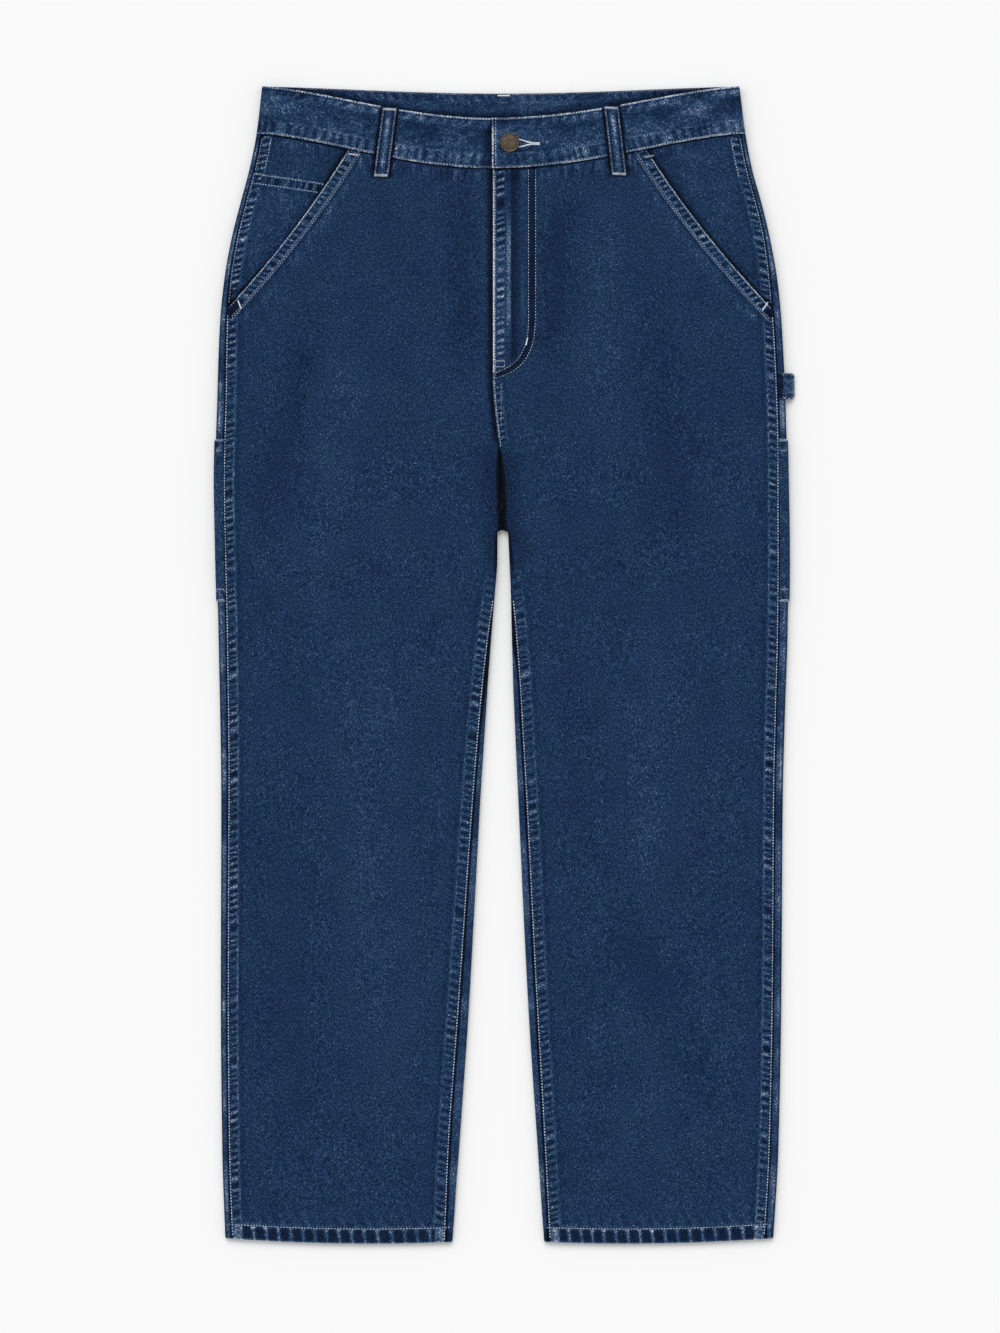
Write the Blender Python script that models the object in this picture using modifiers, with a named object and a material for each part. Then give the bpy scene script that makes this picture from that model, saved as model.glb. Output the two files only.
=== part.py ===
"""Carpenter jeans laid flat, front side up.

The frame: +X is the wearer's left, +Y points to the waist, +Z is up and z = 0 is the surface that the
jeans lie on. Lengths are worked out in millimetres and turned into metres when a mesh is made.

Every cloth piece is an open surface with Solidify. Its points come from two measures: "down", how far a
point lies below the top of the waistband at the sides, and "out", how far it lies from the frame's middle
on its own side, so that one set of functions cuts the right and the left half.
"""

import math
from collections import namedtuple

import bpy
import numpy as np

# One millimetre in Blender's metres
MM = 0.001

# Driving sizes, in millimetres
LENGTH = 1044.0
TOP_Y = LENGTH / 2
CLOTH = 1.1
BAND_CLOTH = 2.2
STRAP_CLOTH = 1.5
HAMMER_CLOTH = 1.2
HEM_CLOTH = 2.7
HEM_HEIGHT = 13.0
GAP = 0.3
LAYER_GAP = 0.4
LAYER = CLOTH + LAYER_GAP
FOLD_RADIUS = 3.2

# The waistband, its seam and the yoke
BAND_HEIGHT = 43.2
BAND_DIP_FRONT = 29.0
BAND_DIP_BACK = 6.3
BAND_GROWS_FRONT = 2.2
BAND_GROWS_BACK = 1.8
DIP_POWER = 1.5
DIP_ENDS = 300.0
YOKE_BENDS = 23.0
YOKE_AT_SIDE = 94.0
YOKE_DROP = 26.0

# The ends of the waistband, where they cross at the fly: out of the end, its height and where it levels
BAND_TOP = 8.2
BandEnd = namedtuple("BandEnd", "out top fade_from fade_to")
BUTTONHOLE_END = BandEnd(-11.7, 9.3, 18.0, 70.0)
UNDERLAP_END = BandEnd(-27.0, 6.7, 13.8, 44.8)

# The fly, the fork where the legs part in front, and the point behind it where the four panels meet
FLY_X = -10.8
FLY_UNDERLAP = 11.0
FLY_END = 264.0
FLY_LEVELS = (270.0, 290.0)
LAP_FOOT = 1.0
LAP_KNEE = 7.0
SEAT_SEAM_X = -3.0
FORK = 321.0
CROTCH_POINT = 401.0
VALLEY_FALLS = (315.0, 352.0)
VALLEY_CLEARANCE = 0.6
Valley = namedtuple("Valley", "down x")
VALLEY_LINE = (Valley(321, -5.4), Valley(352, -3.8), Valley(401, -2.2))

# The inseam turns over the folded edge between these rows, and its gap is wider there
TURN_GAP = 0.4
TURN_FROM = (380.0, 404.0)
TURN_TO = (500.0, 552.0)

# Heights of the front's outer face: along the folded edges and in the field between them
Height = namedtuple("Height", "down edge field")
HEIGHTS = (
    Height(0, 7.5, 7.5),
    Height(270, 7.5, 7.5),
    Height(330, 7.9, 7.3),
    Height(410, 7.8, 6.5),
    Height(500, 7.0, 5.2),
    Height(640, 6.0, 4.4),
    Height(1004, 5.9, 4.4),
    Height(1023, 6.2, 6.1),
    Height(1044, 6.2, 6.1),
)
EDGE_FADES = (8.0, 36.0)

# The back's outer face is raised by the pockets and loops under the seat, and lies on the floor below
UNDER_PIECES = 1.8
UNDER_ENDS = (480.0, 620.0)

# Folded edges of the two halves, and how far in from them the seams run; below zero is under the fold
Outline = namedtuple("Outline", "down edge")
OUTER_RIGHT = (
    Outline(0, 218.7), Outline(43, 223.7), Outline(76, 230.4), Outline(103, 237.6), Outline(139, 246.6),
    Outline(175, 252.9), Outline(211, 256.5), Outline(283, 259.2), Outline(355, 261.0), Outline(409, 260.1),
    Outline(499, 257.9), Outline(643, 255.6), Outline(823, 256.0), Outline(958, 254.7), Outline(1037, 252.0),
)
OUTER_LEFT = (
    Outline(0, 211.1), Outline(43, 216.5), Outline(76, 222.8), Outline(103, 230.4), Outline(139, 239.0),
    Outline(175, 245.3), Outline(211, 248.9), Outline(283, 252.5), Outline(355, 254.3), Outline(427, 255.2),
    Outline(499, 254.3), Outline(553, 252.5), Outline(643, 250.2), Outline(823, 248.9),
    Outline(958, 246.2), Outline(1037, 241.7),
)
INNER_RIGHT = (
    Outline(321, 7.8), Outline(400, 6.8), Outline(427, 6.9), Outline(455, 9.0), Outline(499, 12.6),
    Outline(553, 16.4), Outline(643, 22.2), Outline(823, 32.1), Outline(1037, 47.3),
)
INNER_LEFT = (
    Outline(321, -2.9), Outline(353, 0.4), Outline(393, 2.4), Outline(427, 4.0), Outline(455, 5.2),
    Outline(499, 6.2), Outline(553, 7.9), Outline(643, 12.0), Outline(823, 20.7), Outline(1037, 35.1),
)
Inset = namedtuple("Inset", "down inset")
OUTSEAM_RIGHT = (Inset(0, 4.4), Inset(120, 4.6), Inset(195, 5.6), Inset(300, 7.4), Inset(420, 7.4),
                 Inset(700, 6.0), Inset(1037, 5.8))
OUTSEAM_LEFT = (Inset(0, 4.4), Inset(120, 4.6), Inset(195, 7.0), Inset(300, 7.0), Inset(420, 8.4),
                Inset(700, 7.4), Inset(1037, 7.6))
INSEAM_RIGHT = (Inset(401, -4.6), Inset(430, -2.6), Inset(455, -0.4), Inset(499, 2.4), Inset(553, 4.4),
                Inset(690, 6.8), Inset(823, 8.6), Inset(930, 9.2), Inset(1037, 6.4))
INSEAM_LEFT = (Inset(401, -4.6), Inset(430, -2.0), Inset(455, 0.4), Inset(499, 3.6), Inset(553, 5.8),
               Inset(690, 7.0), Inset(823, 7.2), Inset(930, 6.4), Inset(1037, 4.6))

# The hem hangs lower in the middle of each leg and towards its inner edge
HEM_LEVELS = (1008.0, 1024.0)
HEM_SAGS = (900.0, 1037.0)
HEM_SLOPE = 3.4
HEM_BELLY = 12.0

# The slanted hand pockets: their folded edge runs from the waist seam to the outseam, a little hollow
Slash = namedtuple("Slash", "top_out top_down end_out end_down bow")
SLASH_RIGHT = Slash(142.2, 59.4, 250.5, 201.0, 5.4)
SLASH_LEFT = Slash(131.4, 63.9, 242.5, 203.0, 5.4)
SETTLE_STEPS = 12

# Their facings: shares of the opening's width, the part under the front panel, and the end below
FACING_SHARES = (1, 0.8, 0.6, 0.42, 0.26, 0.12, 0)
FACING_HIDDEN = 34.0
FACING_END = 201.0
FACING_BELOW = 16.0
FACING_SINKS = (4.0, 26.0)
FACING_END_INSET = 6.0
FACING_END_WIDTH = 4.0
COIN_TOP = 78.5
COIN_END = 184.0

# Soft folds of the front, each a ridge or, below zero, a trough along a line
Crease = namedtuple("Crease", "x0 down0 x1 down1 width rise")
CREASES = (
    Crease(-38, 90, -35, 250, 12, -0.7),
    Crease(52, 100, 44, 240, 16, -0.8),
    Crease(86, 110, 96, 330, 22, 0.5),
    Crease(128, 200, 156, 430, 20, -0.6),
    Crease(-176, 220, -214, 400, 16, -0.7),
    Crease(-150, 230, -168, 470, 26, 0.5),
    Crease(-128, 480, -112, 900, 34, 0.7),
    Crease(-200, 640, -190, 960, 22, -0.6),
    Crease(138, 480, 120, 760, 30, 0.8),
    Crease(92, 700, 168, 900, 22, -0.7),
    Crease(150, 820, 110, 1000, 26, 0.6),
    Crease(60, 520, 72, 700, 18, -0.5),
)
CREASE_STARTS = (-0.15, 0.25)
CREASE_STOPS = (0.75, 1.15)

# The pockets behind and on the legs
BackPocket = namedtuple("BackPocket", "out top side_height point half_top half_bottom")
BACK_POCKET = BackPocket(128.0, 110.0, 124.0, 144.0, 76.0, 66.0)
TOOL_TOP = 312.0
TOOL_END = 464.0
TOOL_WIDTH = 116.0

# Belt loops
LOOP_WIDTH = 12.6
LOOP_LENGTH = 62.0
LOOP_BELOW_TOP = 0.2
LOOP_CROWN = 0.25
LOOP_OVER_BAND = 0.4
LOOP_STEPS_DOWN = (1.0, 9.0)
LOOP_ROWS = 8
FrontLoop = namedtuple("FrontLoop", "name x_top x_bottom")
FRONT_LOOPS = (
    FrontLoop("belt_loop_front_right", -103.6, -111.6),
    FrontLoop("belt_loop_front_left", 95.6, 102.8),
)
BackLoop = namedtuple("BackLoop", "name x")
BACK_LOOPS = (
    BackLoop("belt_loop_back_centre", -1.8),
    BackLoop("belt_loop_back_right", -128.0),
    BackLoop("belt_loop_back_left", 122.0),
)

# The hammer loop, from its end on the outseam, round the edge of the leg, to the flat run under the seat
HAMMER_TOP = 258.3
HAMMER_WIDTH = 23.4
HAMMER_INNER_END = 116.0
HAMMER_FLAT_POINTS = 5
StrapPoint = namedtuple("StrapPoint", "past_edge z")
HAMMER_BULGE = (
    StrapPoint(-6.2, 9.1), StrapPoint(-1.6, 9.1), StrapPoint(1.6, 7.6), StrapPoint(5.0, 5.0),
    StrapPoint(8.7, 3.3), StrapPoint(9.2, 1.9), StrapPoint(7.6, 0.5), StrapPoint(4.0, 0.1),
    StrapPoint(0.0, 0.0), StrapPoint(-14.0, 0.0),
)

# The button's profile, from the middle of its cap, over the rolled rim and in to its neck
BUTTON_X = 4.2
BUTTON_DOWN = 51.7
BUTTON_STEPS = 32
WELD_DISTANCE = 0.01
ProfilePoint = namedtuple("ProfilePoint", "radius z")
BUTTON_PROFILE = (
    ProfilePoint(0.0, 3.5), ProfilePoint(6.2, 3.5), ProfilePoint(6.7, 3.35), ProfilePoint(7.4, 3.7),
    ProfilePoint(8.4, 3.6), ProfilePoint(8.8, 3.0), ProfilePoint(8.5, 2.3), ProfilePoint(7.6, 2.0),
    ProfilePoint(3.4, 2.0), ProfilePoint(3.4, 0.0), ProfilePoint(0.0, 0.0),
)

# Rows down the panels and points across them
HEM_ROW = 1037.0
FRONT_ROWS = (43.5, 62, 84, 108, 132, 156, 180, 198, 205, 234, 264, 270, 294, 318, 330, 343, 358, 378,
              394, 400.4, 404, 411, 424, 441, 464, 500, 552, 612, 672, 742, 820, 898, 968, 1008, 1021,
              1025, HEM_ROW)
YOKE_ROWS = (43.5, 60, 77, YOKE_AT_SIDE)
FLY_ONLY_ROWS = (270, 343)
BACK_ROWS = (YOKE_AT_SIDE + GAP,) + tuple(row for row in FRONT_ROWS
                                          if row > YOKE_AT_SIDE and row not in FLY_ONLY_ROWS)
FACING_ROWS = (43.5, 60, COIN_TOP, 100, 122, 144, 166, COIN_END, FACING_END, FACING_END + FACING_BELOW)
BAND_SHARES = (0.0, 0.5, 1.0)
FRONT_POINTS = 14
LAP_POINTS = 6
BACK_POINTS = 19
TOOL_POINTS = 12
BAND_POINTS = 64
FLAT_SPACING = 24.0
TURN_SPACING = math.radians(32)
END_STEP = 0.5
FINE = 24
SAME_POINT = 1e-6

# Colours, linear: the legs are the darkest, and the puckered pieces wear paler
Tone = namedtuple("Tone", "red green blue")
LEG_TONE = Tone(0.0130, 0.0356, 0.0866)
FACING_TONE = Tone(0.0176, 0.0437, 0.0998)
BAND_TONE = Tone(0.0203, 0.0467, 0.1046)
BRONZE_TONE = Tone(0.19, 0.15, 0.11)
DENIM_ROUGHNESS = 0.9
BRONZE_ROUGHNESS = 0.45


def smooth(start, end, value):
    """0 before start, 1 after end, with a soft step between them."""
    t = np.clip((value - start) / (end - start), 0.0, 1.0)
    return t * t * (3 - 2 * t)


def curve_through(rows, column, at):
    """A smooth curve through one column of a table whose first column is down. It never overshoots a row."""
    x = np.array([row.down for row in rows], float)
    y = np.array([getattr(row, column) for row in rows], float)
    rise = np.diff(y) / np.diff(x)
    before, after = rise[:-1], rise[1:]
    same_way = before * after > 0
    inner = np.where(same_way, 2 * before * after / np.where(same_way, before + after, 1), 0.0)
    slope = np.concatenate([[rise[0]], inner, [rise[-1]]])
    at = float(np.clip(at, x[0], x[-1]))
    i = int(np.clip(np.searchsorted(x, at) - 1, 0, len(x) - 2))
    h = x[i + 1] - x[i]
    t = (at - x[i]) / h
    return ((2 * t**3 - 3 * t**2 + 1) * y[i] + (t**3 - 2 * t**2 + t) * h * slope[i]
            + (3 * t**2 - 2 * t**3) * y[i + 1] + (t**3 - t**2) * h * slope[i + 1])


class Half:
    """One half of the jeans: side is -1 for the wearer's right and 1 for the left."""

    def __init__(self, side, word, outer, inner, outseam, inseam, slash):
        self.side = side
        self.word = word
        self.tables = {"outer": (outer, "edge"), "inner": (inner, "edge"),
                       "outseam": (outseam, "inset"), "inseam": (inseam, "inset")}
        self.slash = slash

    def read(self, name, down):
        rows, column = self.tables[name]
        return curve_through(rows, column, down)

    def fly_out(self):
        return self.side * FLY_X

    def seat_out(self):
        return self.side * SEAT_SEAM_X

    def valley_out(self, down):
        return self.side * curve_through(VALLEY_LINE, "x", down)

    def outseam_out(self, row):
        return self.read("outer", row) - self.read("outseam", row)

    def across(self, out, centre_out):
        """0 at the side edge at the waist, 1 at the centre line."""
        side = self.read("outer", BAND_HEIGHT)
        return float(np.clip((side - out) / (side - centre_out), 0, 1))


RIGHT = Half(-1, "right", OUTER_RIGHT, INNER_RIGHT, OUTSEAM_RIGHT, INSEAM_RIGHT, SLASH_RIGHT)
LEFT = Half(1, "left", OUTER_LEFT, INNER_LEFT, OUTSEAM_LEFT, INSEAM_LEFT, SLASH_LEFT)


def dip_shape(u):
    """How the waist line sinks from the side, u = 0, to the centre, u = 1."""
    return math.sin(math.pi / 2 * u) ** DIP_POWER


def waist_dip(depth, u, row):
    return depth * dip_shape(u) * (1 - smooth(BAND_HEIGHT, DIP_ENDS, row))


def hem_drop(half, out, row):
    """How far the hem hangs below a straight line, in the middle of the leg."""
    outer, inner = half.read("outer", HEM_ROW), half.read("inner", HEM_ROW)
    u = float(np.clip((outer - out) / (outer - inner), 0, 1))
    return (HEM_SLOPE * u + HEM_BELLY * u * (1 - u)) * smooth(*HEM_SAGS, row)


def front_down(half, out, row):
    """The real down of a point of the front's row, which follows the waist seam above and the hem below."""
    u = half.across(out, half.fly_out())
    return row + waist_dip(BAND_DIP_FRONT + BAND_GROWS_FRONT, u, row) + hem_drop(half, out, row)


def back_down(half, out, row):
    """The real down of a point of the back's row: the waist seam, then the V of the yoke, then level."""
    u = half.across(out, half.seat_out())
    yoke = YOKE_DROP * u * smooth(YOKE_BENDS, YOKE_AT_SIDE, row) * (1 - smooth(YOKE_AT_SIDE, DIP_ENDS, row))
    return row + waist_dip(BAND_DIP_BACK + BAND_GROWS_BACK, u, row) + yoke + hem_drop(half, out, row)


def under(down):
    """How high the back's outer face lies."""
    return UNDER_PIECES * (1 - smooth(*UNDER_ENDS, down))


def crease_height(x, down):
    """The sum of the soft folds at a point."""
    total = 0.0
    for c in CREASES:
        along = np.array((c.x1 - c.x0, c.down1 - c.down0))
        length = np.hypot(*along)
        along = along / length
        rel = np.array((x - c.x0, down - c.down0))
        t = float(rel @ along) / length
        off = float(rel[0] * along[1] - rel[1] * along[0])
        ends = smooth(*CREASE_STARTS, t) * (1 - smooth(*CREASE_STOPS, t))
        total += c.rise * ends * math.exp(-((off / c.width) ** 2))
    return total


def top_height(half, out, down):
    """The height of the front's outer face: high at the folded edges, lower between them, with the folds."""
    edge = curve_through(HEIGHTS, "edge", down)
    field = curve_through(HEIGHTS, "field", down)
    near_outer = 1 - smooth(*EDGE_FADES, half.read("outer", down) - out)
    near_inner = (1 - smooth(*EDGE_FADES, out - half.read("inner", down))) * smooth(*VALLEY_FALLS, down)
    near = 1 - (1 - near_outer) * (1 - near_inner)
    folds = crease_height(half.side * out, down) * (1 - near) * (1 - smooth(*HEM_LEVELS, down))
    return field + (edge - field) * near + folds


def slash_out(half, down):
    """Where the slanted pocket's edge lies at this height."""
    s = half.slash
    t = (down - s.top_down) / (s.end_down - s.top_down)
    return s.top_out + (s.end_out - s.top_out) * t - s.bow * 4 * t * (1 - t)


def slash_on_row(half, row):
    """The out of the slanted edge on one of the front's rows, found by settling on it."""
    out = slash_out(half, row)
    for _ in range(SETTLE_STEPS):
        out = slash_out(half, front_down(half, out, row))
    return out


def seam_gap(row):
    """Half the gap at a seam, wider where the inseam turns over the folded edge."""
    return GAP / 2 + TURN_GAP * smooth(*TURN_FROM, row) * (1 - smooth(*TURN_TO, row))


def between(a, b, t):
    return tuple(p + (q - p) * t for p, q in zip(a, b))


def line(a, b):
    return [between(a, b, t) for t in np.linspace(0, 1, FINE)]


def arc(centre_out, centre_z, radius, height, start_deg, end_deg):
    """Points of a folded edge, an ellipse in the section's plane."""
    angles = np.radians(np.linspace(start_deg, end_deg, FINE))
    return [(centre_out + radius * math.cos(a), centre_z + height * math.sin(a)) for a in angles]


def trim(points, length):
    """The first part of a path, cut at this length."""
    kept = [points[0]]
    for a, b in zip(points, points[1:]):
        step = math.dist(a, b)
        if step >= length:
            kept.append(between(a, b, length / step))
            break
        kept.append(b)
        length -= step
    return kept


def spread(points, count):
    """The path again with count points, closer together where it turns, and with a short step at each end,
    so that the cloth's cut edges stand square to it. The path turns in its first two numbers, and any
    further numbers of a point are carried along."""
    kept = [np.array(points[0], float)]
    for point in points[1:]:
        point = np.array(point, float)
        if np.linalg.norm(point[:2] - kept[-1][:2]) > SAME_POINT:
            kept.append(point)
    kept = np.array(kept)
    steps = np.diff(kept[:, :2], axis=0)
    lengths = np.linalg.norm(steps, axis=1)
    headings = np.unwrap(np.arctan2(steps[:, 1], steps[:, 0]))
    turns = np.abs(np.diff(headings, append=headings[-1]))
    weight = np.concatenate([[0], np.cumsum(lengths / FLAT_SPACING + turns / TURN_SPACING)])
    travel = np.concatenate([[0], np.cumsum(lengths)])
    at = np.interp(np.linspace(0, weight[-1], count - 2), weight, travel)
    at = np.concatenate([[0, END_STEP], at[1:-1], [travel[-1] - END_STEP, travel[-1]]])
    return [tuple(float(np.interp(a, travel, column)) for column in kept.T) for a in at]


def fold_at(half, row, edge):
    """Centre and half height of the folded edge, "outer" or "inner", on a row."""
    high, low = curve_through(HEIGHTS, "edge", row), under(row)
    out = half.read(edge, row)
    centre = out - FOLD_RADIUS if edge == "outer" else out + FOLD_RADIUS
    return centre, (high + low) / 2, (high - low) / 2


def side_path(half, row, inner_out):
    """From the outseam over the side's folded edge, and along the underside to inner_out."""
    centre, mid, tall = fold_at(half, row, "outer")
    path = line((half.outseam_out(row) + GAP / 2, mid + tall), (centre, mid + tall))
    path += arc(centre, mid, FOLD_RADIUS, tall, 90, -90)
    return path + line((centre, under(row)), (inner_out, under(row)))


def back_path(half, row):
    """Across the back from the outseam to the seat seam or, below the crotch, round to the inseam."""
    if row < CROTCH_POINT:
        return side_path(half, row, half.seat_out() + GAP / 2)
    inner, mid, tall = fold_at(half, row, "inner")
    fold = arc(inner, mid, FOLD_RADIUS, tall, -90, -270)
    around = fold + line(fold[-1], (half.read("outer", row), mid + tall))
    fold_length = sum(math.dist(a, b) for a, b in zip(fold, fold[1:]))
    travel = fold_length + half.read("inseam", row) - FOLD_RADIUS
    return side_path(half, row, inner) + trim(around, travel - seam_gap(row))


def front_points(half, row, start, end, count=4 * FINE):
    """Points on the front's outer face, from start out to end."""
    points = []
    for out in np.linspace(start, end, count):
        down = row if row > DIP_ENDS else front_down(half, out, row)
        points.append((out, top_height(half, out, down)))
    return points


def front_start(half, row):
    """Where a row of the front starts: at the outseam or at the slanted pocket's edge."""
    start = half.outseam_out(row) - GAP / 2
    if row < half.slash.end_down:
        start = min(start, slash_on_row(half, row))
    return start


def fly_row(half, row):
    """A row of the front that ends at the fly, spread. The right front passes under the left one there."""
    fly = half.fly_out()
    start = front_start(half, row)
    if half is LEFT:
        return spread(front_points(half, row, start, fly), FRONT_POINTS)
    underlap = FLY_UNDERLAP if row <= FLY_END else -GAP
    sunk = LAYER * (1 - smooth(*FLY_LEVELS, row))
    flat = front_points(half, row, start, fly + LAP_KNEE)
    lap = [(out, z - sunk * (1 - smooth(fly + LAP_FOOT, fly + LAP_KNEE, out)))
           for out, z in front_points(half, row, fly + LAP_KNEE, fly - underlap)]
    return spread(flat, FRONT_POINTS - LAP_POINTS) + spread(lap, LAP_POINTS + 1)[1:]


def valley_row(half, row):
    """A row of the front that dips at its inner edge into the valley between the legs, spread."""
    floor = under(row) + CLOTH + VALLEY_CLEARANCE
    depth = (curve_through(HEIGHTS, "edge", row) - floor) * smooth(*VALLEY_FALLS, row)
    centre = half.valley_out(row) + GAP / 2
    lip = half.read("inner", row) + FOLD_RADIUS
    path = front_points(half, row, front_start(half, row), lip)
    top = path[-1][1]
    for a in np.linspace(0, math.pi / 2, FINE)[1:]:
        path.append((lip - (lip - centre) * math.sin(a), top - depth * (1 - math.cos(a))))
    return spread(path, FRONT_POINTS)


def leg_row(half, row):
    """A row of the front that ends at the inseam, on the front or under the inner edge's fold, spread."""
    inner, _, tall = fold_at(half, row, "inner")
    inset = half.read("inseam", row)
    start = front_start(half, row)
    if inset >= FOLD_RADIUS:
        end = half.read("inner", row) + inset + seam_gap(row)
        return spread(front_points(half, row, start, end), FRONT_POINTS)
    path = front_points(half, row, start, inner)
    fold = arc(inner, path[-1][1] - tall, FOLD_RADIUS, tall, 90, 270)
    return spread(path + trim(fold, FOLD_RADIUS - inset - seam_gap(row)), FRONT_POINTS)


def band_down(x, share, on_front):
    """The real down of a point of the waistband, at share 0 on its top edge and at share 1 on its seam."""
    half = LEFT if x > FLY_X else RIGHT
    out = half.side * x
    if on_front:
        shape = dip_shape(half.across(out, half.fly_out()))
        top, grows = BAND_DIP_FRONT * shape, BAND_GROWS_FRONT * shape
    else:
        shape = dip_shape(half.across(out, half.seat_out()))
        top, grows = BAND_DIP_BACK * shape, BAND_GROWS_BACK * shape
    return top + (BAND_HEIGHT + grows - GAP) * share


def band_half(half, end, share):
    """Half of the waistband's way round: from its end at the fly, over the side, to the middle of the back.
    Each point is x, z and 1 on the front or -1 on the back."""
    low = under(0)
    centre = half.read("outer", BAND_HEIGHT * share) - FOLD_RADIUS
    mid, tall = (BAND_TOP + low) / 2, (BAND_TOP - low) / 2
    path = []
    for out in np.linspace(end.out, centre, 4 * FINE):
        z = BAND_TOP + (end.top - BAND_TOP) * (1 - smooth(end.fade_from, end.fade_to, out))
        path.append((half.side * out, z, 1))
    for out, z in arc(centre, mid, FOLD_RADIUS, tall, 90, -90):
        path.append((half.side * out, z, 1 if z > mid else -1))
    for out in np.linspace(centre, 0, 2 * FINE):
        path.append((half.side * out, low, -1))
    return path


def to_world(half, out, down, z):
    return (half.side * out * MM, (TOP_Y - down) * MM, z * MM)


def material(name, tone, roughness, metallic=0.0):
    made = bpy.data.materials.new(name)
    made.use_nodes = True
    shader = made.node_tree.nodes["Principled BSDF"]
    shader.inputs["Base Color"].default_value = (*tone, 1.0)
    shader.inputs["Roughness"].default_value = roughness
    shader.inputs["Metallic"].default_value = metallic
    return made


def denim(name, tone):
    return material(f"{name}_denim", tone, DENIM_ROUGHNESS)


def clear_scene():
    for obj in list(bpy.data.objects):
        bpy.data.objects.remove(obj, do_unlink=True)


def cloth_sheet(name, grid, thickness, tone, walls=None):
    """A loft through rows of points, whose outer face looks up at its first corner, thickened inward.
    walls, one number for each row, is the share of the thickness there."""
    rows, columns = len(grid), len(grid[0])
    points = [p for row in grid for p in row]
    faces = [(r * columns + c, r * columns + c + 1, (r + 1) * columns + c + 1, (r + 1) * columns + c)
             for r in range(rows - 1) for c in range(columns - 1)]
    corner, along, below = (np.array(p) for p in (grid[0][0], grid[0][1], grid[1][0]))
    if np.cross(along - corner, below - corner)[2] < 0:
        faces = [face[::-1] for face in faces]
    mesh = bpy.data.meshes.new(name)
    mesh.from_pydata(points, [], faces)
    mesh.materials.append(denim(name, tone))
    mesh.shade_smooth()
    obj = bpy.data.objects.new(name, mesh)
    COLLECTION.objects.link(obj)
    solid = obj.modifiers.new("cloth", "SOLIDIFY")
    solid.thickness = thickness * MM
    solid.offset = -1
    solid.use_quality_normals = True
    if walls is not None:
        group = obj.vertex_groups.new(name="wall")
        for r, share in enumerate(walls):
            group.add(list(range(r * columns, (r + 1) * columns)), share, "REPLACE")
        solid.vertex_group = group.name


def hem_walls(rows):
    """The share of the hem's thickness on each row: one layer above the hem, the folded hem below it."""
    return [1.0 if row > HEM_ROW - HEM_HEIGHT else CLOTH / HEM_CLOTH for row in rows]


def make_front(half):
    grid = []
    for row in FRONT_ROWS:
        cut = fly_row if row < FORK else valley_row if row < CROTCH_POINT else leg_row
        grid.append([to_world(half, out, front_down(half, out, row), z) for out, z in cut(half, row)])
    cloth_sheet(f"front_{half.word}", grid, HEM_CLOTH, LEG_TONE, hem_walls(FRONT_ROWS))


def back_grid(half, rows):
    grid = []
    for row in rows:
        path = spread(back_path(half, row), BACK_POINTS)
        grid.append([to_world(half, out, back_down(half, out, row), z) for out, z in path])
    return grid


def make_back(half):
    cloth_sheet(f"back_{half.word}", back_grid(half, BACK_ROWS), HEM_CLOTH, LEG_TONE, hem_walls(BACK_ROWS))
    cloth_sheet(f"yoke_{half.word}", back_grid(half, YOKE_ROWS), CLOTH, LEG_TONE)


def facing_grid(half, rows, raised):
    """The cloth seen in the hand pocket's opening. It sinks below the front's folded edge, and the right
    one lies lower, so that the coin pocket on it comes level with the front."""
    seam_drop = LAYER if half is RIGHT else 0.0
    grid = []
    for row in rows:
        start = half.outseam_out(row) - 2 * GAP
        slash = slash_on_row(half, row)
        if row > half.slash.end_down - FACING_END_WIDTH:
            start = half.outseam_out(row) - FACING_END_INSET
            slash = start - FACING_END_WIDTH
        outs = [slash + (start - slash) * share for share in FACING_SHARES]
        outs += [slash - FACING_HIDDEN / 2, slash - FACING_HIDDEN]
        points = []
        for out in outs:
            down = front_down(half, out, row)
            drop = seam_drop + LAYER * (1 - smooth(*FACING_SINKS, out - slash))
            points.append(to_world(half, out, down, top_height(half, out, down) - drop + raised))
        grid.append(points)
    return grid


def make_facings():
    for half in (RIGHT, LEFT):
        cloth_sheet(f"pocket_facing_{half.word}", facing_grid(half, FACING_ROWS, 0.0), CLOTH, FACING_TONE)
    rows = [row for row in FACING_ROWS if COIN_TOP <= row <= COIN_END]
    grid = [row[:-1] for row in facing_grid(RIGHT, rows, LAYER)]
    cloth_sheet("coin_pocket", grid, CLOTH, FACING_TONE)


def make_waistband():
    columns = []
    for share in BAND_SHARES:
        path = band_half(LEFT, BUTTONHOLE_END, share) + band_half(RIGHT, UNDERLAP_END, share)[::-1]
        column = []
        for x, z, face in spread(path, BAND_POINTS):
            down = band_down(x, share, face > 0)
            column.append((x * MM, (TOP_Y - down) * MM, z * MM))
        columns.append(column)
    cloth_sheet("waistband", [list(row) for row in zip(*columns)], BAND_CLOTH, BAND_TONE)


def flat_patch(name, outline, thickness, tone):
    """A flat piece of cloth under the seat: a filled outline of x and down, standing on the surface."""
    curve = bpy.data.curves.new(name, "CURVE")
    curve.dimensions = "2D"
    curve.fill_mode = "BOTH"
    curve.extrude = thickness / 2 * MM
    spline = curve.splines.new("POLY")
    spline.points.add(len(outline) - 1)
    for point, (x, down) in zip(spline.points, outline):
        point.co = (x * MM, (TOP_Y - down) * MM, 0, 1)
    spline.use_cyclic_u = True
    curve.materials.append(denim(name, tone))
    obj = bpy.data.objects.new(name, curve)
    obj.location.z = thickness / 2 * MM
    COLLECTION.objects.link(obj)


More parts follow.
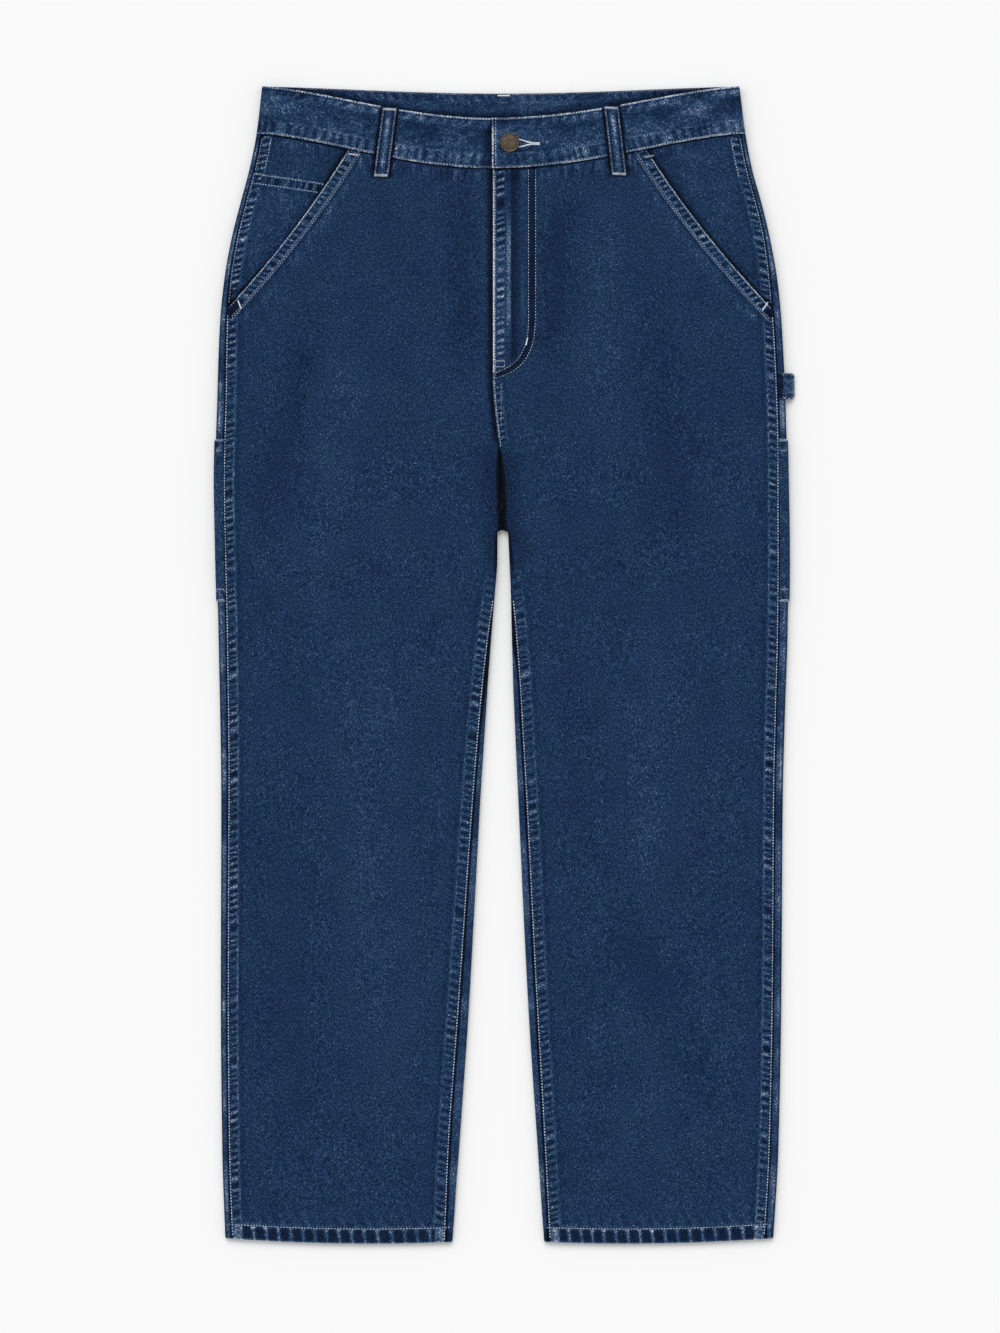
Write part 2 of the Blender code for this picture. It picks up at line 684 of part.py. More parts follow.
def make_back_pocket(half):
    """A patch pocket on the seat: five-sided, narrower below, with a point in the middle. Its top edge
    runs along the yoke's V."""
    p = BACK_POCKET
    corners = ((-p.half_top, 0), (p.half_top, 0), (p.half_bottom, p.side_height), (0, p.point),
               (-p.half_bottom, p.side_height))
    slope = YOKE_DROP / half.read("outer", BAND_HEIGHT)
    outline = [(half.side * (p.out + across), p.top + down - slope * across) for across, down in corners]
    flat_patch(f"back_pocket_{half.word}", outline, STRAP_CLOTH, LEG_TONE)


def make_tool_pocket(half):
    """The long pocket on the side of the leg, caught in the outseam and folded round the edge."""
    out_by = GAP + CLOTH
    grid = []
    for row in BACK_ROWS:
        if not TOOL_TOP <= row <= TOOL_END:
            continue
        path = spread(side_path(half, row, half.read("outer", row) - TOOL_WIDTH), TOOL_POINTS)
        tangents = np.gradient(np.array(path), axis=0)
        points = []
        for (out, z), (along, up) in zip(path, tangents):
            size = math.hypot(along, up)
            points.append(to_world(half, out - up / size * out_by, row, z + along / size * out_by))
        grid.append(points)
    cloth_sheet(f"tool_pocket_{half.word}", grid, CLOTH, LEG_TONE)


def make_front_loop(loop):
    """A belt loop on the front: over the band, then down to the cloth below it."""
    half = LEFT if loop.x_top > 0 else RIGHT
    top = band_down(loop.x_top, 0, True) + LOOP_BELOW_TOP
    seam = band_down(loop.x_top, 1, True)
    step_from, step_to = (seam + step for step in LOOP_STEPS_DOWN)
    grid = []
    for t in np.linspace(0, 1, LOOP_ROWS):
        down = top + LOOP_LENGTH * t
        x = loop.x_top + (loop.x_bottom - loop.x_top) * t
        cloth = top_height(half, abs(x), down) + GAP
        z = cloth + (BAND_TOP + LOOP_OVER_BAND - cloth) * (1 - smooth(step_from, step_to, down)) + STRAP_CLOTH
        grid.append([((x + side * LOOP_WIDTH / 2) * MM, (TOP_Y - down) * MM, (z + crown) * MM)
                     for side, crown in ((-1, 0.0), (0, LOOP_CROWN), (1, 0.0))])
    cloth_sheet(loop.name, grid, STRAP_CLOTH, BAND_TONE)


def make_back_loop(loop):
    """A belt loop behind, flat under the band."""
    top = band_down(loop.x, 0, False) + LOOP_BELOW_TOP
    left, right = loop.x - LOOP_WIDTH / 2, loop.x + LOOP_WIDTH / 2
    outline = [(left, top), (right, top), (right, top + LOOP_LENGTH), (left, top + LOOP_LENGTH)]
    flat_patch(loop.name, outline, STRAP_CLOTH, BAND_TONE)


def make_hammer_loop():
    """The slack strap on the left side: sewn into the outseam, past the edge, and back under to the seat."""
    edge = LEFT.read("outer", HAMMER_TOP + HAMMER_WIDTH / 2)
    path = [(edge + point.past_edge, point.z) for point in HAMMER_BULGE]
    path += [(out, 0.0) for out in np.linspace(path[-1][0], HAMMER_INNER_END, HAMMER_FLAT_POINTS)[1:]]
    ends = (HAMMER_TOP, HAMMER_TOP + HAMMER_WIDTH)
    grid = [[to_world(LEFT, out, down, z) for out, z in path] for down in ends]
    cloth_sheet("hammer_loop", grid, HAMMER_CLOTH, LEG_TONE)


def make_button():
    """A turned shank button: a low cap with a rolled rim on a short neck."""
    mesh = bpy.data.meshes.new("button")
    edges = [(i, i + 1) for i in range(len(BUTTON_PROFILE) - 1)]
    mesh.from_pydata([(point.radius * MM, 0, point.z * MM) for point in BUTTON_PROFILE], edges, [])
    mesh.materials.append(material("button_bronze", BRONZE_TONE, BRONZE_ROUGHNESS, metallic=1.0))
    obj = bpy.data.objects.new("button", mesh)
    obj.location = (BUTTON_X * MM, (TOP_Y - BUTTON_DOWN) * MM, (BUTTONHOLE_END.top + GAP) * MM)
    COLLECTION.objects.link(obj)
    turned = obj.modifiers.new("turned", "SCREW")
    turned.steps = turned.render_steps = BUTTON_STEPS
    turned.use_merge_vertices = True
    turned.merge_threshold = WELD_DISTANCE * MM


clear_scene()
COLLECTION = bpy.data.collections.new("carpenter_jeans")
bpy.context.scene.collection.children.link(COLLECTION)
for body_half in (RIGHT, LEFT):
    make_front(body_half)
    make_back(body_half)
    make_back_pocket(body_half)
    make_tool_pocket(body_half)
make_facings()
make_waistband()
for front_loop in FRONT_LOOPS:
    make_front_loop(front_loop)
for back_loop in BACK_LOOPS:
    make_back_loop(back_loop)
make_hammer_loop()
make_button()
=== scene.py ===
# %% [markdown]
# # Carpenter jeans, laid out flat
# A pair of dark denim carpenter jeans lies front side up on a pale table, seen from straight above. The
# solid model already holds every cut piece at its real size. This lesson puts cloth over it: denim panels
# with rolled and puckered seams, rows of real stitches, bartacks, a buttonhole, a bronze button, a floor,
# light and a camera.

import math
from collections import namedtuple

import bpy
import numpy as np
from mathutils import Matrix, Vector
from mathutils.bvhtree import BVHTree


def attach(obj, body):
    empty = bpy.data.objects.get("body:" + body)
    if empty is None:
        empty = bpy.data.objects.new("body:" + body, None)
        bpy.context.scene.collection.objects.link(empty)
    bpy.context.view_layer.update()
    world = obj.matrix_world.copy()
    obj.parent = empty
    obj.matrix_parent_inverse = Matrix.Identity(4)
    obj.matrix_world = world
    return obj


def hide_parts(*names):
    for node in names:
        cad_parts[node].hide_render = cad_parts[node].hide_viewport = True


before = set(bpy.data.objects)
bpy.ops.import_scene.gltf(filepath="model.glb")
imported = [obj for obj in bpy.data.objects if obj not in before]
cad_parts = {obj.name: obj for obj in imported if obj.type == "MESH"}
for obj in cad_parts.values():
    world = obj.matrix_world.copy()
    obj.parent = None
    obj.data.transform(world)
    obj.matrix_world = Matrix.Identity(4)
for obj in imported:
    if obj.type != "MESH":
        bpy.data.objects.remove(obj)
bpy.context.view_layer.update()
MM = 0.001

# %% [markdown]
# ## Sizes
# Two measures place everything, as a pattern cutter would: "down", the distance below the top of the
# waistband at the sides, and "out", the distance from the middle on one half. All are millimetres. The
# edges and seams are smooth curves through a few measured points. They could be splines in Blender, but
# numbers are easier to offset, so that each row of stitches runs at its real distance from its edge.

# %% Smooth steps and curves
def smooth(start, end, value):
    """0 before start, 1 after end, with a soft step between them."""
    t = np.clip((value - start) / (end - start), 0.0, 1.0)
    return t * t * (3 - 2 * t)


def bell(value, middle, width):
    return np.exp(-(((value - middle) / width) ** 2))


def curve(*points):
    """A curve through (down, value) points, as a function of down. It never overshoots a point."""
    x, y = np.array(points, float).T
    rise = np.diff(y) / np.diff(x)
    same_way = rise[:-1] * rise[1:] > 0
    middle = np.where(same_way, 2 * rise[:-1] * rise[1:] / np.where(same_way, rise[:-1] + rise[1:], 1), 0)
    slope = np.concatenate([[rise[0]], middle, [rise[-1]]])
    at = np.arange(x[0], x[-1] + 0.5, 0.5)
    i = np.clip(np.searchsorted(x, at) - 1, 0, len(x) - 2)
    h = x[i + 1] - x[i]
    t = (at - x[i]) / h
    value = ((2 * t**3 - 3 * t**2 + 1) * y[i] + (t**3 - 2 * t**2 + t) * h * slope[i]
             + (3 * t**2 - 2 * t**3) * y[i + 1] + (t**3 - t**2) * h * slope[i + 1])
    return lambda down: np.interp(down, at, value)


def travelled(points):
    """How far along a line of points each of them lies."""
    return np.concatenate([[0], np.cumsum(np.hypot(*np.diff(points, axis=0).T))])


# %% The two halves
Slash = namedtuple("Slash", "top_out top_down end_out end_down bow")
Half = namedtuple("Half", "word side outer inner outseam inseam slash")
RIGHT = Half(
    "right", -1,
    curve((0, 218.7), (43, 223.7), (76, 230.4), (103, 237.6), (139, 246.6), (175, 252.9), (211, 256.5),
          (283, 259.2), (355, 261.0), (409, 260.1), (499, 257.9), (643, 255.6), (823, 256.0), (958, 254.7),
          (1037, 252.0)),
    curve((321, 7.8), (400, 6.8), (427, 6.9), (455, 9.0), (499, 12.6), (553, 16.4), (643, 22.2), (823, 32.1),
          (1037, 47.3)),
    curve((0, 4.4), (120, 4.6), (195, 5.6), (300, 7.4), (420, 7.4), (700, 6.0), (1037, 5.8)),
    curve((401, -4.6), (430, -2.6), (455, -0.4), (499, 2.4), (553, 4.4), (690, 6.8), (823, 8.6), (930, 9.2),
          (1037, 6.4)),
    Slash(142.2, 59.4, 250.5, 201.0, 5.4),
)
LEFT = Half(
    "left", 1,
    curve((0, 211.1), (43, 216.5), (76, 222.8), (103, 230.4), (139, 239.0), (175, 245.3), (211, 248.9),
          (283, 252.5), (355, 254.3), (427, 255.2), (499, 254.3), (553, 252.5), (643, 250.2), (823, 248.9),
          (958, 246.2), (1037, 241.7)),
    curve((321, -2.9), (353, 0.4), (393, 2.4), (427, 4.0), (455, 5.2), (499, 6.2), (553, 7.9), (643, 12.0),
          (823, 20.7), (1037, 35.1)),
    curve((0, 4.4), (120, 4.6), (195, 7.0), (300, 7.0), (420, 8.4), (700, 7.4), (1037, 7.6)),
    curve((401, -4.6), (430, -2.0), (455, 0.4), (499, 3.6), (553, 5.8), (690, 7.0), (823, 7.2), (930, 6.4),
          (1037, 4.6)),
    Slash(131.4, 63.9, 242.5, 203.0, 5.4),
)
HALVES = (RIGHT, LEFT)

# %% Lines across the garment
TOP_Y = 522.0
CLOTH, BAND_CLOTH, STRAP_CLOTH, HEM_CLOTH, GAP = 1.1, 2.2, 1.5, 2.7, 0.3
LAYER = 1.5
FOLD_RADIUS = 3.2
BAND_HEIGHT, BAND_DIP_FRONT, BAND_DIP_BACK, BAND_GROWS_FRONT, BAND_GROWS_BACK = 43.2, 29.0, 6.3, 2.2, 1.8
DIP_ENDS = 300.0
YOKE_BENDS, YOKE_AT_SIDE, YOKE_DROP = 23.0, 94.0, 26.0
FLY_X, SEAT_X = -10.8, -3.0
FLY_END, FORK, CROTCH_POINT = 264.0, 321.0, 401.0
HEM_ROW, HEM_HEIGHT = 1037.0, 13.0
WAIST_ROW, UNDER_BAND = 43.5, 1.9
BAND_TOP = 8.2
VALLEY_X = curve((321, -5.4), (352, -3.8), (401, -2.2))
FLY_LINE = curve((0, FLY_X), (FLY_END, FLY_X), (292, -9.0), (FORK, -5.4))
EDGE_HEIGHT = curve((0, 7.5), (270, 7.5), (330, 7.9), (410, 7.8), (500, 7.0), (640, 6.0), (1004, 5.9),
                    (1023, 6.2), (1044, 6.2))
FIELD_HEIGHT = curve((0, 7.5), (270, 7.5), (330, 7.3), (410, 6.5), (500, 5.2), (640, 4.4), (1004, 4.4),
                     (1023, 6.1), (1044, 6.1))


def under(down):
    """The height of the back's outer face: over the seat's pockets and loops, then on the table."""
    return 1.8 * (1 - smooth(480, 620, down))


def outseam_out(half, row):
    return half.outer(row) - half.outseam(row)


def across(half, out, centre_x):
    side = half.outer(BAND_HEIGHT)
    return np.clip((side - out) / (side - half.side * centre_x), 0, 1)


def dip_shape(u):
    return np.sin(np.pi / 2 * u) ** 1.5


def hem_drop(half, out, row):
    outer, inner = half.outer(HEM_ROW), half.inner(HEM_ROW)
    u = np.clip((outer - out) / (outer - inner), 0, 1)
    return (3.4 * u + 12.0 * u * (1 - u)) * smooth(900, HEM_ROW, row)


def front_down(half, out, row):
    """Where a row of the front really lies: parallel to the waist seam above and to the hem below."""
    dip = (BAND_DIP_FRONT + BAND_GROWS_FRONT) * dip_shape(across(half, out, FLY_X))
    return row + dip * (1 - smooth(BAND_HEIGHT, DIP_ENDS, row)) + hem_drop(half, out, row)


def back_down(half, out, row):
    """Where a row of the back really lies: the waist seam, the V of the yoke, then level, then the hem."""
    u = across(half, out, SEAT_X)
    dip = (BAND_DIP_BACK + BAND_GROWS_BACK) * dip_shape(u) * (1 - smooth(BAND_HEIGHT, DIP_ENDS, row))
    yoke = YOKE_DROP * u * smooth(YOKE_BENDS, YOKE_AT_SIDE, row) * (1 - smooth(YOKE_AT_SIDE, DIP_ENDS, row))
    return row + dip + yoke + hem_drop(half, out, row)


def band_down(x, share, on_front):
    """Where the waistband lies, at share 0 on its top edge and at share 1 on its seam."""
    result = np.zeros(np.shape(x))
    for half in HALVES:
        here = x > FLY_X if half is LEFT else x <= FLY_X
        front_dip = dip_shape(across(half, half.side * x, FLY_X))
        back_dip = dip_shape(across(half, half.side * x, SEAT_X))
        dip = np.where(on_front, BAND_DIP_FRONT * front_dip, BAND_DIP_BACK * back_dip)
        grows = np.where(on_front, BAND_GROWS_FRONT * front_dip, BAND_GROWS_BACK * back_dip)
        result = np.where(here, dip + (BAND_HEIGHT + grows - GAP) * share, result)
    return result


def slash_out(half, down):
    """The slanted hand pocket's folded edge, a little hollow."""
    s = half.slash
    t = (down - s.top_down) / (s.end_down - s.top_down)
    return s.top_out + (s.end_out - s.top_out) * t - s.bow * 4 * t * (1 - t)


def slash_distance(half, out, down):
    """How far inside the slanted edge a point of the front lies, square to it."""
    s = half.slash
    t = (down - s.top_down) / (s.end_down - s.top_down)
    lean = (s.end_out - s.top_out - s.bow * 4 * (1 - 2 * t)) / (s.end_down - s.top_down)
    return (slash_out(half, down) - out) / np.sqrt(1 + lean**2)


print("waist laid flat", RIGHT.outer(0) + LEFT.outer(0), "mm")
print("hem", RIGHT.outer(HEM_ROW) - RIGHT.inner(HEM_ROW), "mm")

# %% [markdown]
# ## Folds, puckers, wear and painted shade
# Denim is dyed only on the outside of its warp, so it fades wherever it rubs: on a folded edge, on the tops
# of the puckers that a row of stitches pulls up, along a ridge. So one number does two jobs here. Where a
# seam raises the cloth, the same wave also lightens it. The same number also holds painted shade: it is
# lowered in the gaps where one panel goes under another, beside the loops, the fly and the seam allowances,
# under the waistband, along the fold hollows and deep in the crotch, and raised as painted light along the
# fold ridges. It is stored on each point as "fade", with 0.5 for the open cloth, and the denim
# material turns it into colour. It could be painted as a picture, but a number worked out from the seams
# stays sharp and needs no unwrapping.

# %% Uneven waves
def uneven(at, pitch, seed):
    """Smooth random numbers from -1 to 1 along a line, one for each pitch."""
    values = np.random.default_rng(seed).uniform(-1, 1, 1024)
    t = np.asarray(at) / pitch + 300
    i = np.floor(t).astype(int)
    f = t - i
    f = f * f * (3 - 2 * f)
    return values[i % 1024] * (1 - f) + values[(i + 1) % 1024] * f


def puckers(at, pitch, seed):
    """The ripple that a row of stitches pulls up: a wave whose pitch and height wander."""
    phase = at / pitch + 0.6 * uneven(at, 2.1 * pitch, seed)
    return np.cos(2 * np.pi * phase) * (0.68 + 0.32 * uneven(at, 2.6 * pitch, seed + 1))


# %% Soft folds of the front
Fold = namedtuple("Fold", "x0 down0 x1 down1 width rise tone")
# The tone column paints shade along the fold hollows and light along their ridges, with the sign of the rise.
FOLDS = (
    Fold(-38, 90, -35, 250, 12, -0.7, -0.06),
    Fold(52, 100, 44, 240, 16, -0.8, -0.06),
    Fold(86, 110, 96, 330, 22, 0.5, 0.03),
    Fold(128, 200, 156, 430, 20, -0.6, -0.04),
    Fold(-176, 220, -214, 400, 16, -0.7, -0.05),
    Fold(-150, 230, -168, 470, 26, 0.5, 0.03),
    Fold(-128, 480, -112, 900, 34, 0.7, 0.03),
    Fold(-200, 640, -190, 960, 22, -0.6, -0.02),
    Fold(138, 480, 120, 760, 30, 0.8, 0.03),
    Fold(92, 700, 168, 900, 22, -0.7, -0.03),
    Fold(150, 820, 110, 1000, 26, 0.6, 0.02),
    Fold(60, 520, 72, 700, 18, -0.5, -0.02),
)


def folds_at(x, down):
    """The height and the tone that all the soft folds give together."""
    height, tone = np.zeros(x.shape), np.zeros(x.shape)
    for f in FOLDS:
        length = math.hypot(f.x1 - f.x0, f.down1 - f.down0)
        ux, ud = (f.x1 - f.x0) / length, (f.down1 - f.down0) / length
        t = ((x - f.x0) * ux + (down - f.down0) * ud) / length
        off = (x - f.x0) * ud - (down - f.down0) * ux
        shape = smooth(-0.15, 0.25, t) * (1 - smooth(0.75, 1.15, t)) * bell(off, 0, f.width)
        height += f.rise * shape
        tone += f.tone * shape
    return height, tone


def top_height(half, out, down):
    """The height of the front's outer face."""
    near_outer = 1 - smooth(8, 36, half.outer(down) - out)
    near_inner = (1 - smooth(8, 36, out - half.inner(down))) * smooth(315, 352, down)
    near = 1 - (1 - near_outer) * (1 - near_inner)
    folds, _ = folds_at(half.side * out, down)
    edge, field = EDGE_HEIGHT(down), FIELD_HEIGHT(down)
    return field + (edge - field) * near + folds * (1 - near) * (1 - smooth(1008, 1024, down))


# %% The relief of one sewn edge
PITCH, LEG_PITCH = 7.4, 6.4  # millimetres from one pucker to the next


def ladder(s, along, seed, first, last, pitch=PITCH, depth=0.3, gleam=0.2, base=0.0):
    """The washed ladder beside a row of stitches: pale rungs where the cloth puckers up and dark squares
    where it is drawn down. Returns the wave, for the height, and the tone."""
    waves = puckers(along + 0.3 * s, pitch, seed)
    inside = smooth(first, first + 1.1, s) * (1 - smooth(last - 1.1, last, s))
    inside = inside * (0.7 + 0.3 * uneven(along, 21, seed + 3))
    rungs, squares = smooth(0.0, 0.7, waves), smooth(0.0, 0.6, -waves)
    return inside * waves, inside * (base + gleam * rungs - depth * squares)


def sewn_edge(s, along, seed, width=9.0, rise=0.4, ripple=0.28, pitch=PITCH, depth=0.3, gleam=0.2, wear=0.0,
              inner=0.16, base=0.0):
    """Height and tone at a distance s inside a folded and topstitched edge: it rolls down at the fold,
    rises over the seam allowance, dips at the stitches and ripples between them and the allowance's end."""
    waves, tone = ladder(s, along, seed, 1.6, width, pitch, depth, gleam, base)
    height = rise * (1 - smooth(width - 1.0, width + 2.5, s)) + ripple * waves
    height -= 0.5 * (1 - smooth(0.0, 0.9, s)) + 0.2 * bell(s, 1.2, 0.6)
    tone += wear * bell(s, 0.2, 0.85) * (0.85 + 0.15 * uneven(along, 6, seed + 5))
    tone += inner * bell(s, width + 0.2, 0.9) * (0.7 + 0.3 * uneven(along, 5, seed + 6))
    # Painted shade just past the seam allowance, where the raised allowance steps down.
    return height, tone - 0.05 * bell(s, width + 3.2, 2.2)


# %% [markdown]
# ## Cloth panels
# Each panel is a net of points: rows down the garment, and columns that start at one cut edge and end at
# the other, close together along the seams where the puckers are and wide apart in the field. A subdivided
# plane could be sculpted to this, but then the columns would cut across the seams and blur them. The net is
# moved along its own normal by the relief, stores its wear and painted shade, and gets its thickness from
# Solidify.

# %% Points across a panel
def path_net(half, rows, path_of, near_start, middle, near_end):
    """Sample each row's path at fixed distances from both its ends, and evenly between. Returns arrays of
    out, z, the two numbers of the normal, and the distances from the start and from the end."""
    out, z, start, end = (np.zeros((len(rows), len(near_start) + middle + len(near_end))) for _ in range(4))
    for r, row in enumerate(rows):
        path = np.array(path_of(half, row))
        steps = np.hypot(*np.diff(path, axis=0).T)
        path = path[np.concatenate([[True], steps > 1e-6])]
        travel = travelled(path)
        inner = np.linspace(near_start[-1], travel[-1] - near_end[-1], middle + 2)[1:-1]
        at = np.concatenate([near_start, inner, travel[-1] - np.array(near_end[::-1])])
        out[r], z[r] = np.interp(at, travel, path[:, 0]), np.interp(at, travel, path[:, 1])
        start[r], end[r] = at, travel[-1] - at
    d_out, d_z = np.gradient(out, axis=1), np.gradient(z, axis=1)
    size = np.hypot(d_out, d_z)
    return out, z, d_z / size, -d_out / size, start, end


def put_in_scene(name, data):
    obj = bpy.data.objects.new(name, data)
    bpy.context.scene.collection.objects.link(obj)
    return obj


def cloth(name, points, thickness, node, **tones):
    """A panel from a net of points (rows, columns, 3) in millimetres, whose outer face looks up at its first
    corner. tones are the numbers that its materials read."""
    rows, columns = points.shape[:2]
    index = np.arange(rows * columns).reshape(rows, columns)
    quads = np.stack([index[:-1, :-1], index[:-1, 1:], index[1:, 1:], index[1:, :-1]], axis=-1).reshape(-1, 4)
    if np.cross(points[0, 1] - points[0, 0], points[1, 0] - points[0, 0])[2] < 0:
        quads = quads[:, ::-1]
    mesh = bpy.data.meshes.new(name)
    mesh.from_pydata((points.reshape(-1, 3) * MM).tolist(), [], quads.tolist())
    mesh.shade_smooth()
    for word, values in tones.items():
        layer = mesh.attributes.new(word, "FLOAT", "POINT")
        values = np.clip(np.broadcast_to(values, (rows, columns)), 0, 1)
        layer.data.foreach_set("value", np.ascontiguousarray(values, np.float32).ravel())
    mesh.materials.append(DENIM)
    obj = put_in_scene(name, mesh)
    solid = obj.modifiers.new("cloth", "SOLIDIFY")
    solid.thickness, solid.offset, solid.use_quality_normals = thickness * MM, -1, True
    if "shade" in tones:
        mesh.materials.append(DENIM_INSIDE)
        solid.material_offset = 1
    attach(obj, "root")
    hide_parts(node)
    CLOTH_PIECES.append(obj)
    return obj


CLOTH_PIECES = []
SLASH_COLUMNS = [0, 0.35, 0.8, 1.4, 2.1, 2.9, 3.8, 4.7, 5.6, 6.5, 7.4, 8.3, 9.2, 10.2, 11.3, 12.5, 13.8,
                 15.2, 17]

# %% [markdown]
# ## Denim
# Denim is a cotton twill: indigo warp threads on the face, undyed weft behind, 25 or so threads to the
# centimetre. Rinsed and worn, it shows fine flecks of weft between the warp threads, soft clouds of
# stronger and weaker dye, and pale lines on every ridge. The threads are 0.4 mm apart and the twill lines
# 0.8 mm, too fine for this picture, so the flecks are drawn at 1 mm and the twill at 1.7 mm. The cloth is
# matt: cotton's IOR is about 1.53, its roughness is near 1, and the short fibres on it give a weak sheen.

# %% Helpers for materials
def linear(hex_colour):
    """An sRGB hex colour as linear RGBA."""
    parts = [int(hex_colour[i:i + 2], 16) / 255 for i in (1, 3, 5)]
    return [c / 12.92 if c <= 0.04045 else ((c + 0.055) / 1.055) ** 2.4 for c in parts] + [1.0]


def add_node(material, kind, links=(), stops=(), **settings):
    """Add a node to a material. settings are its properties and, by the socket's name with underscores for
    spaces, its input values. links are (this input, other node, its output), stops are a ramp's colours."""
    node = material.node_tree.nodes.new(kind)
    for key, value in settings.items():
        name = key.replace("_", " ")
        if name in node.inputs:
            node.inputs[name].default_value = value
        else:
            setattr(node, key, value)
    for i, (position, colour) in enumerate(stops):
        element = node.color_ramp.elements[i] if i < 2 else node.color_ramp.elements.new(position)
        element.position, element.color = position, linear(colour)
    for socket, other, output in links:
        material.node_tree.links.new(other.outputs[output], node.inputs[socket])
    return node


def new_material(name, **settings):
    material = bpy.data.materials.new(name)
    material.use_nodes = True
    shader = material.node_tree.nodes["Principled BSDF"]
    for key, value in settings.items():
        shader.inputs[key.replace("_", " ")].default_value = value
    return material, shader


# %% Indigo denim, woven
DENIM, denim_shader = new_material("indigo_denim_woven", Roughness=0.92, IOR=1.53, Specular_IOR_Level=0.07,
                                   Sheen_Weight=0.03, Sheen_Roughness=0.6)
denim_shader.inputs["Sheen Tint"].default_value = linear("#8FA6C4")
place = add_node(DENIM, "ShaderNodeTexCoord")
TWILL_PITCH, TWILL_SLANT = 1.7 * MM, math.radians(-62)
slanted = add_node(DENIM, "ShaderNodeMapping", [("Vector", place, "Object")], Rotation=(0, 0, TWILL_SLANT))
twill = add_node(DENIM, "ShaderNodeTexWave", [("Vector", slanted, "Vector")], Distortion=2.2, Detail=2,
                 Scale=math.pi / 10 / TWILL_PITCH, Detail_Scale=1.5)
# Each layer of tone is noise whose specks are this much longer than wide, and so many to the metre. Some show
# only where the cloth's own numbers say so: "pulls" where stitches drag it, "creases" where it was crushed.
Layer = namedtuple("Layer", "wide tall per_metre detail rough twist swing only_where")
LAYERS = {
    "warp specks": Layer(1.0, 2.0, 1050, 2, 0.6, 0.0, 0.80, None),
    "weft specks": Layer(1.7, 1.0, 1050, 2, 0.6, 0.0, 0.64, None),
    "grain": Layer(1.0, 1.0, 1500, 1, 0.5, 0.0, 0.44, None),
    "clouds": Layer(1.0, 1.6, 42, 5, 0.62, 0.0, 0.12, None),
    "pulls": Layer(1.0, 8.0, 330, 3, 0.6, 0.0, 1.5, "streak"),
    "creases": Layer(1.9, 1.0, 75, 3, 0.55, 1.1, 0.6, "crush"),
}
CREASE_STOPS = ((0.43, "#000000"), (0.5, "#FFFFFF"), (0.57, "#000000"))
# The lowest stops give both the darkest dye and the painted shade.
DYE_AND_SHADE_STOPS = ((0.0, "#05080D"), (0.18, "#081020"), (0.34, "#0C1D36"), (0.5, "#172D4D"), (0.62, "#254265"),
             (0.74, "#3F5878"), (0.87, "#8390A3"), (1.0, "#D8DCE2"))
fade = add_node(DENIM, "ShaderNodeAttribute", attribute_name="fade")
twill_tone = add_node(DENIM, "ShaderNodeMapRange", [("Value", twill, "Fac")], To_Min=-0.045, To_Max=0.045)
tone = add_node(DENIM, "ShaderNodeMath", [(0, fade, "Fac"), (1, twill_tone, "Result")], operation="ADD")
noises = {}
for word, layer in LAYERS.items():
    mapped = add_node(DENIM, "ShaderNodeMapping", [("Vector", place, "Object")],
                      Scale=(1 / layer.wide, 1 / layer.tall, 1.0))
    noises[word] = add_node(DENIM, "ShaderNodeTexNoise", [("Vector", mapped, "Vector")],
                            Scale=layer.per_metre, Detail=layer.detail, Roughness=layer.rough,
                            Distortion=layer.twist)
    source, output, lowest = noises[word], "Fac", -layer.swing / 2
    if word == "creases":
        source = add_node(DENIM, "ShaderNodeValToRGB", [("Fac", source, "Fac")], CREASE_STOPS)
        output, lowest = "Color", 0
    part = add_node(DENIM, "ShaderNodeMapRange", [("Value", source, output)], To_Min=lowest,
                    To_Max=layer.swing / 2)
    output = "Result"
    if layer.only_where:
        where = add_node(DENIM, "ShaderNodeAttribute", attribute_name=layer.only_where)
        part = add_node(DENIM, "ShaderNodeMath", [(0, where, "Fac"), (1, part, "Result")],
                        operation="MULTIPLY")
        output = "Value"
    tone = add_node(DENIM, "ShaderNodeMath", [(0, tone, "Value"), (1, part, output)], operation="ADD")
dye_and_shade = add_node(DENIM, "ShaderNodeValToRGB", [("Fac", tone, "Value")], DYE_AND_SHADE_STOPS)
hue_clouds = add_node(DENIM, "ShaderNodeTexNoise", [("Vector", place, "Object")], Scale=22, Detail=3)
hue_shift = add_node(DENIM, "ShaderNodeMapRange", [("Value", hue_clouds, "Fac")], To_Min=0.485, To_Max=0.515)
tinted = add_node(DENIM, "ShaderNodeHueSaturation", [("Color", dye_and_shade, "Color"), ("Hue", hue_shift, "Result")])
DENIM.node_tree.links.new(tinted.outputs["Color"], denim_shader.inputs["Base Color"])
flecks = add_node(DENIM, "ShaderNodeMath", [(0, noises["warp specks"], "Fac"), (1, noises["grain"], "Fac")],
                  operation="ADD")
relief = add_node(DENIM, "ShaderNodeMath", [(0, flecks, "Value"), (1, twill, "Fac")], operation="ADD")
weave = add_node(DENIM, "ShaderNodeBump", [("Height", relief, "Value")], Strength=0.45, Distance=0.00025)
DENIM.node_tree.links.new(weave.outputs["Normal"], denim_shader.inputs["Normal"])
# The side of the cloth that faces into the garment is the same denim, darker where the cloth over it shelters
# it from the light, by the number "shade".
DENIM_INSIDE = DENIM.copy()
DENIM_INSIDE.name = "indigo_denim_inside"
shade = add_node(DENIM_INSIDE, "ShaderNodeAttribute", attribute_name="shade")
inside = DENIM_INSIDE.node_tree.nodes
shaded = add_node(DENIM_INSIDE, "ShaderNodeMath", [(0, inside[tone.name], "Value"), (1, shade, "Fac")],
                  operation="SUBTRACT")
DENIM_INSIDE.node_tree.links.new(shaded.outputs["Value"], inside[dye_and_shade.name].inputs["Fac"])
print("twill lines drawn", TWILL_PITCH / MM, "mm apart")

